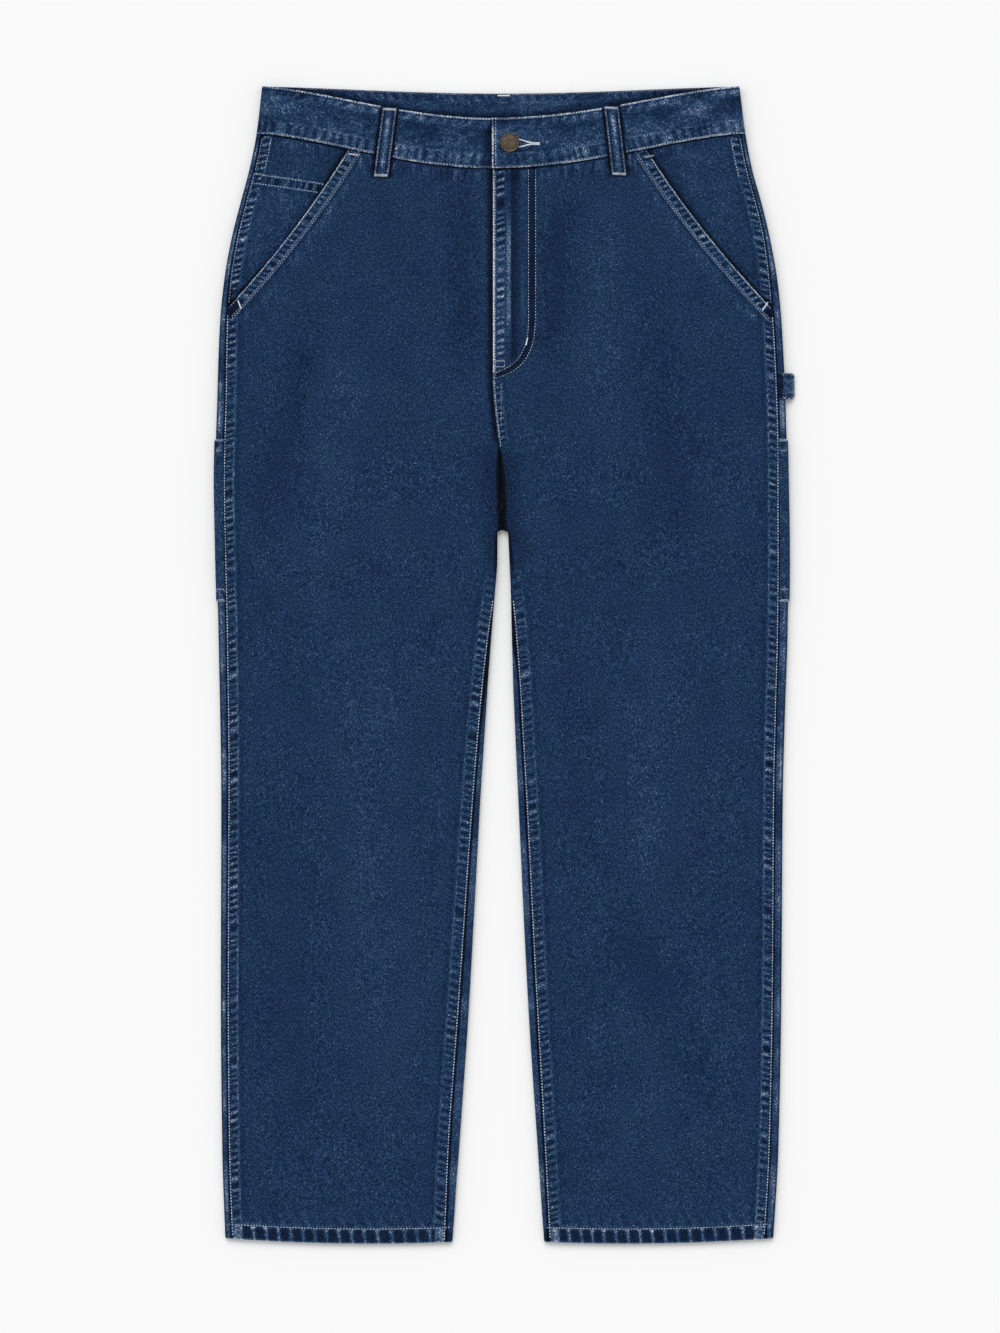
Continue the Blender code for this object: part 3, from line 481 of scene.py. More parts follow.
# %% [markdown]
# ## The front legs
# The front is cut away at the slanted pocket, runs down the outseam, and ends at the fly, then in the dark
# valley between the legs, then at the inseam. Every one of these is a sewn edge with its own relief.

# %% Paths across the front
def fold_at(half, row, edge):
    high, low = EDGE_HEIGHT(row), under(row)
    centre = half.outer(row) - FOLD_RADIUS if edge == "outer" else half.inner(row) + FOLD_RADIUS
    return centre, (high + low) / 2, (high - low) / 2


def arc(centre_out, centre_z, height, start_deg, end_deg):
    angles = np.radians(np.linspace(start_deg, end_deg, 24))
    return list(zip(centre_out + FOLD_RADIUS * np.cos(angles), centre_z + height * np.sin(angles)))


def cut_off(points, length):
    """The first part of a path, this long."""
    points = np.array(points)
    travel = travelled(points)
    inside = travel < length
    last = [np.interp(length, travel, points[:, 0]), np.interp(length, travel, points[:, 1])]
    return [tuple(p) for p in points[inside]] + [tuple(last)]


def slash_on_row(half, row):
    out = slash_out(half, row)
    for _ in range(12):
        out = slash_out(half, front_down(half, out, row))
    return out


def front_path(half, row):
    start = outseam_out(half, row) - GAP / 2
    if row < half.slash.end_down:
        start = min(start, slash_on_row(half, row))

    def points(first, last):
        outs = np.linspace(first, last, 160)
        return list(zip(outs, top_height(half, outs, row if row > DIP_ENDS else front_down(half, outs, row))))

    if row < FORK:
        fly = half.side * float(FLY_LINE(row))
        if half is LEFT:
            return points(start, fly)
        flat = points(start, fly - 11.0 * (1 - smooth(FLY_END, FORK - 12, row)))
        sunk = LAYER * (1 - smooth(FORK - 12, FORK, row))
        return [(out, z - sunk * (1 - smooth(fly + 1, fly + 7, out))) for out, z in flat]
    if row < CROTCH_POINT:
        depth = (EDGE_HEIGHT(row) - under(row) - CLOTH - 0.6) * smooth(315, 352, row)
        centre = half.side * VALLEY_X(row) + GAP / 2
        lip = half.inner(row) + FOLD_RADIUS
        path = points(start, lip)
        a = np.linspace(0, np.pi / 2, 24)[1:]
        return path + list(zip(lip - (lip - centre) * np.sin(a), path[-1][1] - depth * (1 - np.cos(a))))
    inner, _, tall = fold_at(half, row, "inner")
    inset = half.inseam(row)
    if inset >= FOLD_RADIUS:
        return points(start, half.inner(row) + inset + GAP / 2)
    path = points(start, inner)
    return path + cut_off(arc(inner, path[-1][1] - tall, tall, 90, 270), FOLD_RADIUS - inset - GAP / 2)


# %% Lines that cross the front
def near_line(x, down, path):
    """Distance from a line of (x, down) points."""
    best = np.full(x.shape, 1e9)
    for (x0, d0), (x1, d1) in zip(path, path[1:]):
        length = math.hypot(x1 - x0, d1 - d0)
        t = np.clip(((x - x0) * (x1 - x0) + (down - d0) * (d1 - d0)) / length**2, 0, 1)
        best = np.minimum(best, np.hypot(x - x0 - t * (x1 - x0), down - d0 - t * (d1 - d0)))
    return best


def rounded(points, count=40):
    """A smooth line through a few (x, down) points."""
    points = np.array(points, float)
    at = travelled(points)
    fine = np.linspace(0, at[-1], count)
    x, down = np.interp(fine, at, points[:, 0]), np.interp(fine, at, points[:, 1])
    for _ in range(6):
        x[1:-1] = (x[:-2] + 2 * x[1:-1] + x[2:]) / 4
        down[1:-1] = (down[:-2] + 2 * down[1:-1] + down[2:]) / 4
    return list(zip(x, down))


J_OUTER = rounded([(27.6, 74), (27.6, 215), (25.5, 234), (19.0, 248), (8.4, 258), (-10.2, 264.0)])
J_INNER = rounded([(21.2, 74), (21.2, 222), (19.4, 234), (13.0, 246), (6.0, 253.2), (-10.2, 258.8)])
J_MIDDLE = [((a[0] + b[0]) / 2, (a[1] + b[1]) / 2) for a, b in zip(J_OUTER, J_INNER)]
LOOP_WIDTH, LOOP_LENGTH = 12.6, 62.0
FrontLoop = namedtuple("FrontLoop", "node x_top x_bottom")
FRONT_LOOPS = (FrontLoop("belt_loop_front_right", -103.6, -111.6),
               FrontLoop("belt_loop_front_left", 95.6, 102.8))
FootTack = namedtuple("FootTack", "out0 down0 out1 down1")
FOOT_TACKS = {"right": FootTack(240.4, 193.0, 237.4, 200.6), "left": FootTack(236.6, 194.6, 231.6, 202.0)}


def painted_loop_shadow(x, down):
    """Painted shadow: 1 right beside a front belt loop, 0 from 4 mm away."""
    dark = np.zeros(np.shape(x))
    for loop in FRONT_LOOPS:
        from_top = down - float(band_down(loop.x_top, 0, True))
        middle = loop.x_top + (loop.x_bottom - loop.x_top) * from_top / LOOP_LENGTH
        beside = 1 - smooth(0.6, 3.8, np.abs(x - middle) - LOOP_WIDTH / 2)
        dark += beside * (1 - smooth(LOOP_LENGTH - 1, LOOP_LENGTH + 1.6, from_top))
    return dark


def slash_along(half, out, down):
    """How far down the slanted edge a point lies, beside its foot."""
    s = half.slash
    goes_out, goes_down = s.end_out - s.top_out, s.end_down - s.top_down
    length = math.hypot(goes_out, goes_down)
    return ((out - s.top_out) * goes_out + (down - s.top_down) * goes_down) / length


def slash_relief(half, out, down):
    """Height, tone and dragged streaks beside the hand pocket's slanted edge."""
    slash, along = slash_distance(half, out, down), slash_along(half, out, down)
    height, tone = sewn_edge(np.maximum(slash, 0), along, 21 + half.side, width=8.2, ripple=0.22, pitch=6.2,
                             depth=0.42, gleam=0.2, wear=0.4, inner=0.0, base=0.09)
    tone += 0.15 * bell(slash, 9.3, 1.5) - 0.08 * bell(slash, 12.2, 0.9) + 0.07 * bell(slash, 16, 4)
    tack = FOOT_TACKS[half.word]
    past_tack = out - tack.out0 - (tack.out1 - tack.out0) * slash / 8.4
    foot = smooth(0.2, 1.4, past_tack) * (1 - smooth(8.0, 9.0, slash)) * (down > 150)
    return height, tone * (1 - foot) + foot * (0.3 * bell(slash, 0.2, 0.85) - 0.3), 0.4 * bell(slash, 17, 5)


def fly_relief(row, x, down, end):
    """Height and tone of the fly's topstitched flap, on the wearer's left."""
    faded = smooth(110, 130, row)
    waves, tone = ladder(end, row, 31, 3.0, 11.0, 8.2, 0.34 * (1 - 0.5 * faded), 0.3)
    foot = 1 - smooth(236, 250, row)
    worn_band = smooth(11.0, 13.5, end) * (1 - smooth(15.9, 16.6, end)) * smooth(80, 104, row)
    worn_band = worn_band * (1 - smooth(195, 225, row)) * (0.8 + 0.2 * uneven(row, 11, 33))
    tone = tone * foot + 0.08 * (1 - smooth(10, 12, end)) * faded * foot
    tone += 0.42 * (1 - smooth(0.9, 1.9, end)) * (1 - 0.5 * smooth(FLY_END - 4, FLY_END + 6, row))
    tone += 0.26 * worn_band - 0.18 * foot * smooth(15.9, 16.6, end) * (1 - smooth(17, 27, end))
    tone += 0.1 * bell(end, 27, 1.2) * smooth(130, 150, row) * (1 - smooth(190, 205, row))
    tone -= 0.19 * (1 - smooth(2.0, 4.2, near_line(x, down, J_MIDDLE)))
    height = 0.2 * waves - 0.5 * (1 - smooth(0, 0.9, end)) + 0.35 * worn_band
    h, t = sewn_edge(end, row, 35, width=7.5, pitch=6.0, gleam=0.26)
    seam = smooth(FLY_END, FLY_END + 6, row)
    return height + 0.6 * h * seam, tone + t * seam


def hem_relief(x, hem, start, seed):
    """The roping of the hem: pale slanted lines where the cloth twists up, dark squares between them, a pale
    block over the thick seam at its corner, and the drag lines that run up from it into the leg."""
    at = x / 11.3 + 0.22 * uneven(x, 31, seed)
    line = np.abs((at + hem * 0.011 + 100.5) % 1.0 - 0.5) * 11.3
    within = 1 - smooth(12.0, 13.2, hem)
    rope = bell(line, 0, 1.0 + 0.9 * smooth(7, 12.5, hem)) * (0.75 + 0.25 * uneven(x, 12, seed + 1))
    block = (1 - smooth(9.0, 10.5, start)) * smooth(1.0, 2.2, start)
    tone = within * ((0.31 * rope - 0.19 * smooth(1.4, 3.0, line) * smooth(0.8, 2.5, hem)) * (1 - 0.8 * block)
                     + 0.2 * block)
    tone += 0.2 * bell(hem, 11.4, 0.7) * (0.6 + 0.4 * uneven(x, 5, seed + 2)) + 0.2 * bell(hem, 0.3, 0.7)
    drag = np.cos(2 * np.pi * (at + hem * 0.042))
    tone += 0.05 * smooth(13.5, 16, hem) * (1 - smooth(17, 31, hem)) * drag
    height = within * (0.35 * rope - 0.15) - 0.7 * (1 - smooth(0.0, 1.3, hem)) - 0.3 * bell(hem, 13.0, 0.8)
    return height, tone + 0.1 * bell(hem, 14.6, 1.0)


def front_relief(half, row, out, down, start, end):
    """Height, tone and streaks of the front at each point of its net."""
    x = half.side * out
    tone = 0.5 + folds_at(x, down)[1]
    above_hem = 1 - smooth(HEM_ROW - 17, HEM_ROW - 13, row)
    below = smooth(half.slash.end_down + 2, half.slash.end_down + 10, row) * (0.25 + 0.75 * above_hem)
    h, t = sewn_edge(start, row, 11 + half.side, pitch=LEG_PITCH, depth=0.34, gleam=0.28, base=0.04,
                     inner=0.24)
    height, tone = h * below, tone + t * below
    on_slash = 1 - smooth(half.slash.end_down + 4, half.slash.end_down + 12, row)
    h, t, streak = slash_relief(half, out, down)
    height, tone, streak = height + h * on_slash, tone + t * on_slash, streak * on_slash
    at_fly = 1 - smooth(FORK - 6, FORK + 6, row)
    if half is LEFT:
        h, t = fly_relief(row, x, down, end)
        height, tone = height + h * at_fly, tone + t * at_fly
    else:
        # Painted shadow beside the fly's edge, which laps over this half.
        tone -= 0.42 * (1 - smooth(0, 7, out + FLY_LINE(row))) * at_fly
    # Painted shade down in the valley between the legs, near-black at its bottom.
    valley = smooth(FORK - 4, FORK + 16, row) * (1 - smooth(CROTCH_POINT + 6, CROTCH_POINT + 50, row))
    dark = 3.4 * smooth(FORK - 4, FORK + 34, row)
    tone -= 0.5 * valley * (1 - smooth(dark, 1.5 + 1.6 * dark, end)) + 0.1 * valley * (1 - smooth(6, 26, end))
    leg = smooth(CROTCH_POINT + 20, CROTCH_POINT + 70, row) * (0.25 + 0.75 * above_hem)
    h, t = sewn_edge(end, row, 41 + half.side, width=10.0, pitch=LEG_PITCH, depth=0.3, gleam=0.24,
                     base=0.04, inner=0.2)
    height, tone = height + h * leg, tone + t * leg
    waist = row - WAIST_ROW
    # Painted shadow: a thin dark line just under the waistband's edge, and beside each front belt loop.
    tone -= 0.16 * (1 - smooth(0.4, 2.0, waist)) + 0.5 * painted_loop_shadow(x, down)
    h, t = hem_relief(x, HEM_ROW - row, np.minimum(start, end), 61)
    tucked = UNDER_BAND * (1 - smooth(0.0, 1.6, waist))
    streak = streak + 0.6 * smooth(0.5, 3, waist) * (1 - smooth(5, 20, waist))
    return height + h - tucked, tone + t, streak


# %% Cut the fronts
MEETING_ROW = 1005.0
LEG_ROWS = np.concatenate([[38.0, 41.0, 42.6], np.arange(WAIST_ROW, 325, 1.35), np.arange(325.4, 1004, 1.85),
                           MEETING_ROW + np.array([0, 2, 4])])
HEM_ROWS = np.concatenate([MEETING_ROW + np.array([-4, -2, 0]), np.arange(1006.5, 1023, 1.6),
                           np.arange(1023.3, 1034, 1.05), [1034.6, 1035.4, 1036.2, 1036.7, HEM_ROW]])
END_COLUMNS = {
    "right": [0, 0.35, 0.8, 1.3, 1.9, 2.6, 3.4, 4.3, 5.2, 6.1, 7.0, 7.9, 8.8, 9.7, 10.6, 11.6, 12.8, 14.2, 16,
              18.5, 21.5],
    "left": [0, 0.35, 0.8, 1.3, 1.8, 2.4, 3.2, 4.1, 5.0, 5.9, 6.8, 7.7, 8.7, 9.7, 10.8, 12, 13.2, 14.4, 15.6,
             16.8, 18.5, 20.5, 22.5, 24.5, 26.5, 28.3, 30, 31.5, 32.8, 34, 35.2, 36.4, 37.6, 39, 41],
}


def along_rows(rows, net):
    """The row of each point of a net."""
    return np.repeat(rows[:, None], net.shape[1], axis=1)


def net_to_world(half, out, down, z):
    return np.stack([half.side * out, TOP_Y - down, z], axis=-1)


def where_they_meet(rows, row):
    """A leg and its hem are two nets that cross here, each sinking just under the other."""
    past = row - MEETING_ROW if rows is not HEM_ROWS else MEETING_ROW - row
    return 0.2 * smooth(-1, 4, past)


def make_front(half, rows, middle, name, thickness):
    out, z, n_out, n_z, start, end = path_net(half, rows, front_path, SLASH_COLUMNS, middle,
                                              END_COLUMNS[half.word])
    row = along_rows(rows, out)
    down = front_down(half, out, row)
    height, fade, streak = front_relief(half, row, out, down, start, end)
    height = height - where_they_meet(rows, row)
    points = net_to_world(half, out + n_out * height, down, z + n_z * height)
    return cloth(name, points, thickness, f"front_{half.word}", fade=fade, streak=streak, crush=0.0)


for half, middle in ((RIGHT, 26), (LEFT, 20)):
    make_front(half, LEG_ROWS, middle, f"front_{half.word}_cloth", CLOTH)
    make_front(half, HEM_ROWS, 130, f"front_{half.word}_hem", HEM_CLOTH)

# %% [markdown]
# ## The back legs and the yoke
# The back is wider than the front, so it wraps round both sides of each leg and shows as a strip beside
# each seam. Its cut edge passes a little way under the front's. Above it the yoke does the same at the hip.

# %% Cut the backs
BACK_STEPS = np.concatenate([[YOKE_AT_SIDE + GAP], np.arange(97, 1004, 2.4),
                             MEETING_ROW + np.array([0, 2, 4])])
YOKE_STEPS = np.concatenate([[40.0], np.arange(WAIST_ROW, YOKE_AT_SIDE, 2.4), [YOKE_AT_SIDE]])
STRIP_COLUMNS = [0, 2.0, 2.6, 3.1, 3.8, 4.6, 5.6, 6.8, 8.0, 9.4, 11, 12.6, 14.5, 17, 21]
INNER_COLUMNS = [0, 0.8, 1.6, 2.4, 3.1, 3.8, 4.6, 5.6, 6.8, 8.0, 9.4, 11, 13, 16]
TUCK = 2.6


def side_path(half, row, inner_out):
    """From under the outseam, over the side's fold, and along the underside."""
    centre, mid, tall = fold_at(half, row, "outer")
    seam = outseam_out(half, row)
    outs = np.linspace(seam - TUCK, centre, 30)
    sunk = 1.3 * (1 - smooth(seam - 1.2, seam + 0.4, outs)) + 0.35 * (1 - smooth(seam + 0.5, seam + 3, outs))
    return (list(zip(outs, mid + tall - sunk)) + arc(centre, mid, tall, 90, -90)
            + [(inner_out, under(row))])


def back_path(half, row):
    if row < CROTCH_POINT:
        return side_path(half, row, half.side * SEAT_X + GAP / 2)
    inner, mid, tall = fold_at(half, row, "inner")
    fold = arc(inner, mid, tall, -90, -270)
    inset = half.inseam(row)
    fold_length = float(np.sum(np.hypot(*np.diff(np.array(fold), axis=0).T)))
    flat = [(out, mid + tall - 1.3 * smooth(half.inner(row) + inset - 0.3, half.inner(row) + inset + 1.2, out)
             * (inset > FOLD_RADIUS)) for out in np.linspace(inner, inner + 30, 90)[1:]]
    extra = TUCK * smooth(FOLD_RADIUS, FOLD_RADIUS + 2, inset) - GAP / 2
    return side_path(half, row, inner) + cut_off(fold + flat, fold_length + inset - FOLD_RADIUS + extra)


def back_relief(half, row, out, down, start, end, z):
    x = half.side * out
    on_top = smooth(0.4, 0.6, (z - under(down)) / np.maximum(EDGE_HEIGHT(down) - under(down), 1))
    strip = half.outer(row) - out
    tone = 0.5 + 0.06 * on_top * (1 + uneven(row, 9, 71)) + 0.07 * on_top * uneven(row, 23, 72)
    # Painted shadow in the outseam's gap, where the back goes under the front.
    tone -= 0.5 * on_top * (1 - smooth(TUCK + 0.5, TUCK + 1.9, start))
    tone += 0.1 * on_top * bell(strip, 2.6, 1.3) * (1 + uneven(row, 15, 73))
    # Painted shade where the strip turns down over the side of the leg.
    tone -= 0.24 * on_top * bell(strip, 0, 1.1)
    below_fork = smooth(CROTCH_POINT - 2, CROTCH_POINT + 60, row)
    shade = 0.5 * (1 - below_fork) * smooth(FORK - 20, FORK, row)
    # Painted shade deep in the crotch, and painted shadow in the inseam's gap where the back goes under the
    # front.
    tone -= 0.3 * on_top * bell(row, CROTCH_POINT + 8, 26) * (1 - smooth(6, 14, end))
    tone -= 0.5 * on_top * below_fork * (1 - smooth(TUCK + 0.5, TUCK + 1.9, end))
    h, t = hem_relief(x, HEM_ROW - row, start * 0 + 20, 67)
    return h * np.maximum(on_top, 0.3), tone + t * np.where(on_top > 0.5, 0.6, 1.0), shade


def make_back_part(half, rows, name, thickness, node, middle=18):
    out, z, n_out, n_z, start, end = path_net(half, rows, back_path, STRIP_COLUMNS, middle, INNER_COLUMNS)
    row = along_rows(rows, out)
    down = back_down(half, out, row)
    height, fade, shade = back_relief(half, row, out, down, start, end, z)
    height = height - where_they_meet(rows, row)
    points = net_to_world(half, out - n_out * height, down, z - n_z * height)
    return cloth(name, points, thickness, node, fade=fade, streak=0.0, crush=0.12, shade=shade)


for half in HALVES:
    make_back_part(half, BACK_STEPS, f"back_{half.word}_cloth", CLOTH, f"back_{half.word}")
    make_back_part(half, HEM_ROWS, f"back_{half.word}_hem", HEM_CLOTH, f"back_{half.word}", middle=120)
    make_back_part(half, YOKE_STEPS, f"yoke_{half.word}_cloth", CLOTH, f"yoke_{half.word}")

# %% [markdown]
# ## Pocket facings and the coin pocket
# Inside each slanted opening lies a denim facing, which disappears under the front. The wearer's right one
# carries a coin pocket, whose folded top has two rows of stitches with hard little puckers between them.

# %% Cut the facings
COIN_TOP, COIN_END = 78.0, 184.0
COIN_LINE = [(-228.1, 78.0), (-160.6, 87.7)]


def facing_net(half, rows, columns):
    """Columns run from the outseam to 34 mm under the front's folded edge."""
    out, away = np.zeros((len(rows), columns)), np.zeros((len(rows), columns))
    for r, row in enumerate(rows):
        start = outseam_out(half, row) - 0.2
        slash = min(slash_on_row(half, row), start - 4)
        seen, tucked = np.linspace(start, slash - 6, columns - 6), np.linspace(slash - 9, slash - 34, 6)
        out[r] = np.concatenate([seen, tucked])
        away[r] = out[r] - slash
    return out, away


def facing_tone(seam, away, row, down, x, seed):
    """What both facings and the coin pocket share: a painted shadow beside the pocket's edge, darkest right
    at it.
    """
    h, tone = sewn_edge(np.maximum(seam, 0), row, seed, width=9.0, ripple=0.2, pitch=LEG_PITCH, depth=0.34,
                        gleam=0.26, base=0.03)
    # Painted shadow, darkest right beside the front's pocket edge.
    tone += 0.5 - 0.42 * (1 - smooth(0.0, 5.5, away)) - 0.05 * (1 - smooth(5, 16, away))
    return h, tone + 0.05 * uneven(down, 13, 83) * uneven(x, 17, 84)


def make_facing(half):
    rows = np.concatenate([[40.0], np.arange(WAIST_ROW, 216, 1.5)])
    out, away = facing_net(half, rows, 62)
    row = along_rows(rows, out)
    down = front_down(half, out, row)
    x = half.side * out
    drop = (LAYER if half is RIGHT else 0.0) + LAYER * (1 - smooth(4, 26, away))
    h, tone = facing_tone(outseam_out(half, row) - out, away, row, down, x, 81 + half.side)
    # Painted shadow just under the waistband's edge.
    tone -= 0.16 * (1 - smooth(0.4, 2.0, row - WAIST_ROW))
    h *= 0.6 if half is LEFT else 0.25
    z = top_height(half, out, down) - drop + h - UNDER_BAND * (1 - smooth(0, 1.6, row - WAIST_ROW))
    z = np.maximum(z, under(down) + 2 * CLOTH + 0.5)
    streak = 0.35 * smooth(44, 47, row) * (1 - smooth(50, 60, row))
    return cloth(f"pocket_facing_{half.word}_cloth", net_to_world(half, out, down, z), CLOTH,
                 f"pocket_facing_{half.word}", fade=tone, streak=streak, crush=0.15)


def make_coin_pocket():
    rows = np.concatenate([COIN_TOP + np.array([0, 0.4, 0.9]), np.arange(COIN_TOP + 1.6, COIN_END, 1.5)])
    out, away = facing_net(RIGHT, rows, 64)
    row = along_rows(rows, out)
    line_down = np.interp(-out, [COIN_LINE[0][0], COIN_LINE[1][0]], [COIN_LINE[0][1], COIN_LINE[1][1]])
    down = line_down + (row - COIN_TOP)
    x = -out
    side_h, tone = facing_tone(outseam_out(RIGHT, row) - out, away, row, down, x, 91)
    top_h, top_t = sewn_edge(row - COIN_TOP, x, 93, width=9.0, ripple=0.25, pitch=7.6, depth=0.46, gleam=0.24,
                             wear=0.26, inner=0.2)
    z = top_height(RIGHT, out, down) - LAYER * (1 - smooth(4, 26, away)) + side_h * 0.6 + top_h * 0.6
    streak = 0.4 * smooth(COIN_TOP + 9, COIN_TOP + 12, row) * (1 - smooth(COIN_TOP + 16, COIN_TOP + 34, row))
    return cloth("coin_pocket_cloth", net_to_world(RIGHT, out, down, z), CLOTH, "coin_pocket",
                 fade=tone + 0.02 + top_t * smooth(0, 4, away), streak=streak, crush=0.15)


for half in HALVES:
    make_facing(half)
make_coin_pocket()

# %% [markdown]
# ## The waistband
# One doubled strip runs round the waist. Its end with the buttonhole laps over the other at the fly, and
# because the back stands higher than the front, the inside of the back band shows above the front's edge.
# The band is the most puckered piece: both its edges are stitched, and the cloth between them has been
# washed into hollows.

# %% Cut the waistband
BandEnd = namedtuple("BandEnd", "half out top fade_from fade_to")
BAND_ENDS = (BandEnd(LEFT, -11.7, 9.3, 18.0, 70.0), BandEnd(RIGHT, -27.0, 6.7, 13.8, 44.8))


def band_half(end, share):
    """Half of the way round: x, z and 1 on the front or 0 on the back."""
    half, low = end.half, under(0)
    centre = half.outer(BAND_HEIGHT * share) - FOLD_RADIUS
    mid, tall = (BAND_TOP + low) / 2, (BAND_TOP - low) / 2
    outs = np.linspace(end.out, centre, 200)
    tops = BAND_TOP + (end.top - BAND_TOP) * (1 - smooth(end.fade_from, end.fade_to, outs))
    path = [(half.side * out, z, 1) for out, z in zip(outs, tops)]
    path += [(half.side * out, z, 1 if z > mid else 0) for out, z in arc(centre, mid, tall, 90, -90)]
    return path + [(half.side * out, low, 0) for out in np.linspace(centre, 0, 60)]


def make_waistband():
    shares = np.concatenate([[0, 0.008, 0.02, 0.035, 0.055, 0.08], np.linspace(0.105, 0.895, 23),
                             [0.92, 0.945, 0.965, 0.98, 0.992, 1.0]])
    nets = []
    for share in shares:
        path = np.array(band_half(BAND_ENDS[0], share) + band_half(BAND_ENDS[1], share)[::-1])
        travel = travelled(path[:, :2])
        at = np.concatenate([[0, 0.4, 0.9, 1.5], np.linspace(2.2, travel[-1], 690)])
        nets.append([np.interp(at, travel, column) for column in path.T] + [at])
    x, z, face, travel = (np.array([net[i] for net in nets]).T for i in range(4))
    share = np.repeat(shares[None, :], x.shape[0], axis=0)
    front = face > 0.5
    down = band_down(x, share, front)
    dx, dz = np.gradient(x, axis=0), np.gradient(z, axis=0)
    top_s, low_s = share * BAND_HEIGHT, (1 - share) * BAND_HEIGHT
    h1, t1 = sewn_edge(top_s, travel, 101, width=8, rise=0.2, ripple=0.25, pitch=9.2, depth=0.16, gleam=0.1,
                       wear=0.4, inner=0.04)
    h2, t2 = sewn_edge(low_s, travel, 103, width=12, rise=0.2, ripple=0.35, pitch=8.0, depth=0.18, gleam=0.11,
                       wear=0.36, inner=0.1)
    hollows = uneven(travel, 17, 105) * uneven(share * 43 + 500, 8, 106)
    hollows += 0.8 * uneven(travel + 2.2 * share * 43, 9, 107) * uneven(share * 43 + travel / 5, 5, 108)
    tone = 0.52 + t1 + t2 + np.where(front, 0.13, 0.06) * hollows
    tone += 0.38 * (1 - smooth(0.9, 1.9, travel)) + 0.14 * bell(travel, 3.4, 0.8)
    underlap_shadow = smooth(-24, -12, x) * (travel > travel.max() - 60)
    groove = bell(top_s, 2.4, 0.6) * (0.7 + 0.3 * puckers(travel, 2.7, 109))
    shelter = 1 - smooth(0.0, 8.0, band_down(x, 0.0, True) - down)
    # Painted shade on the front of the band: beside the belt loops, beside the lapped end at the fly, and in
    # the groove under the top row of stitches.
    tone -= np.where(front, 0.55 * painted_loop_shadow(x, down) + 0.28 * underlap_shadow + 0.24 * groove, 0)
    shade = np.where(front, 0, 0.02 + 0.26 * shelter + 0.22 * bell(top_s, 0.2, 0.85))
    height = h1 + h2 + 0.3 * hollows * smooth(0, 8, top_s) * smooth(0, 8, low_s)
    height -= 0.5 * (1 - smooth(0, 0.9, travel))
    height *= np.where(front, 1.0, 0.35) * np.abs(dx) / np.hypot(dx, dz)
    points = np.stack([x, TOP_Y - down, z + height * np.where(front, 1, -1)], axis=-1)
    return cloth("waistband_cloth", points, BAND_CLOTH, "waistband", fade=tone, streak=0.06, crush=0.36,
                 shade=shade)


make_waistband()

# %% [markdown]
# ## Pockets behind, loops and the hammer loop
# These are small flat pieces on the panels. Each is a net over a simple outline, thickened, with the same
# sewn edges as the rest. The tool pocket is caught in the outseam, so it wraps over the side of the leg
# with the back.

# %% Patches on the back
def patch(name, corners, z, thickness, node, seed, edge_width=8.5, step=3.0):
    """A flat piece on the underside between four corners (x, down): top left, top right, bottom right and
    bottom left, with an optional fifth, the point at the bottom's middle. z is its outer face's height."""
    top_left, top_right, low_right, low_left = (np.array(c, float) for c in corners[:4])
    point = corners[4][1] - (low_left[1] + low_right[1]) / 2 if len(corners) > 4 else 0.0
    wide, tall = np.linalg.norm(top_right - top_left), np.linalg.norm(low_left - top_left)
    fringe = np.array([0, 0.4, 0.9, 1.6, 2.4])

    def shares(size):
        middle = np.linspace(3.4 / size, 1 - 3.4 / size, int(size / step) + 2)
        return np.concatenate([fringe / size, middle, 1 - fringe[::-1] / size])

    u, v = np.meshgrid(shares(wide), shares(tall))
    left = top_left + v[..., None] * (low_left - top_left)
    right = top_right + v[..., None] * (low_right - top_right)
    flat = left + u[..., None] * (right - left)
    flat[..., 1] += point * v * (1 - np.abs(2 * u - 1))
    edge = {"width": edge_width, "rise": 0.1, "ripple": 0.12, "wear": 0.3}
    h1, t1 = sewn_edge(np.minimum(u, 1 - u) * wide, v * tall, seed, **edge)
    h2, t2 = sewn_edge(np.minimum(v, 1 - v) * tall, u * wide, seed + 1, **edge)
    level = np.maximum(z - np.minimum(np.minimum(h1, h2), 0.25), 0.02)
    points = np.stack([flat[..., 0], TOP_Y - flat[..., 1], level], axis=-1)
    tone = 0.52 + t1 + t2
    obj = cloth(name, points[:, ::-1], thickness, node, fade=tone[:, ::-1], streak=0.0, crush=0.14)
    obj.modifiers["cloth"].offset = 1
    return obj


BackPocket = namedtuple("BackPocket", "out top side_height point half_top half_bottom")
SEAT_POCKET = BackPocket(128.0, 110.0, 124.0, 144.0, 76.0, 66.0)


def seat_pocket_corners(half):
    p = SEAT_POCKET
    slope = YOKE_DROP / half.outer(BAND_HEIGHT)
    offsets = ((-p.half_top, 0), (p.half_top, 0), (p.half_bottom, p.side_height),
               (-p.half_bottom, p.side_height), (0, p.point))
    corners = [(half.side * (p.out + a), p.top + d - slope * a) for a, d in offsets]
    return corners if half is LEFT else [corners[1], corners[0], corners[3], corners[2], corners[4]]


for half in HALVES:
    patch(f"back_pocket_{half.word}_cloth", seat_pocket_corners(half), 0.35, STRAP_CLOTH - 0.35,
          f"back_pocket_{half.word}", 121 + half.side)

# %% Tool pockets on the legs
TOOL_ROWS = np.arange(318, 464.1, 2.0)
TOOL_WIDTH = 116.0


def tool_path(half, row):
    """Along the back, from beside the outseam."""
    return side_path(half, row, half.outer(row) - TOOL_WIDTH)[12:]


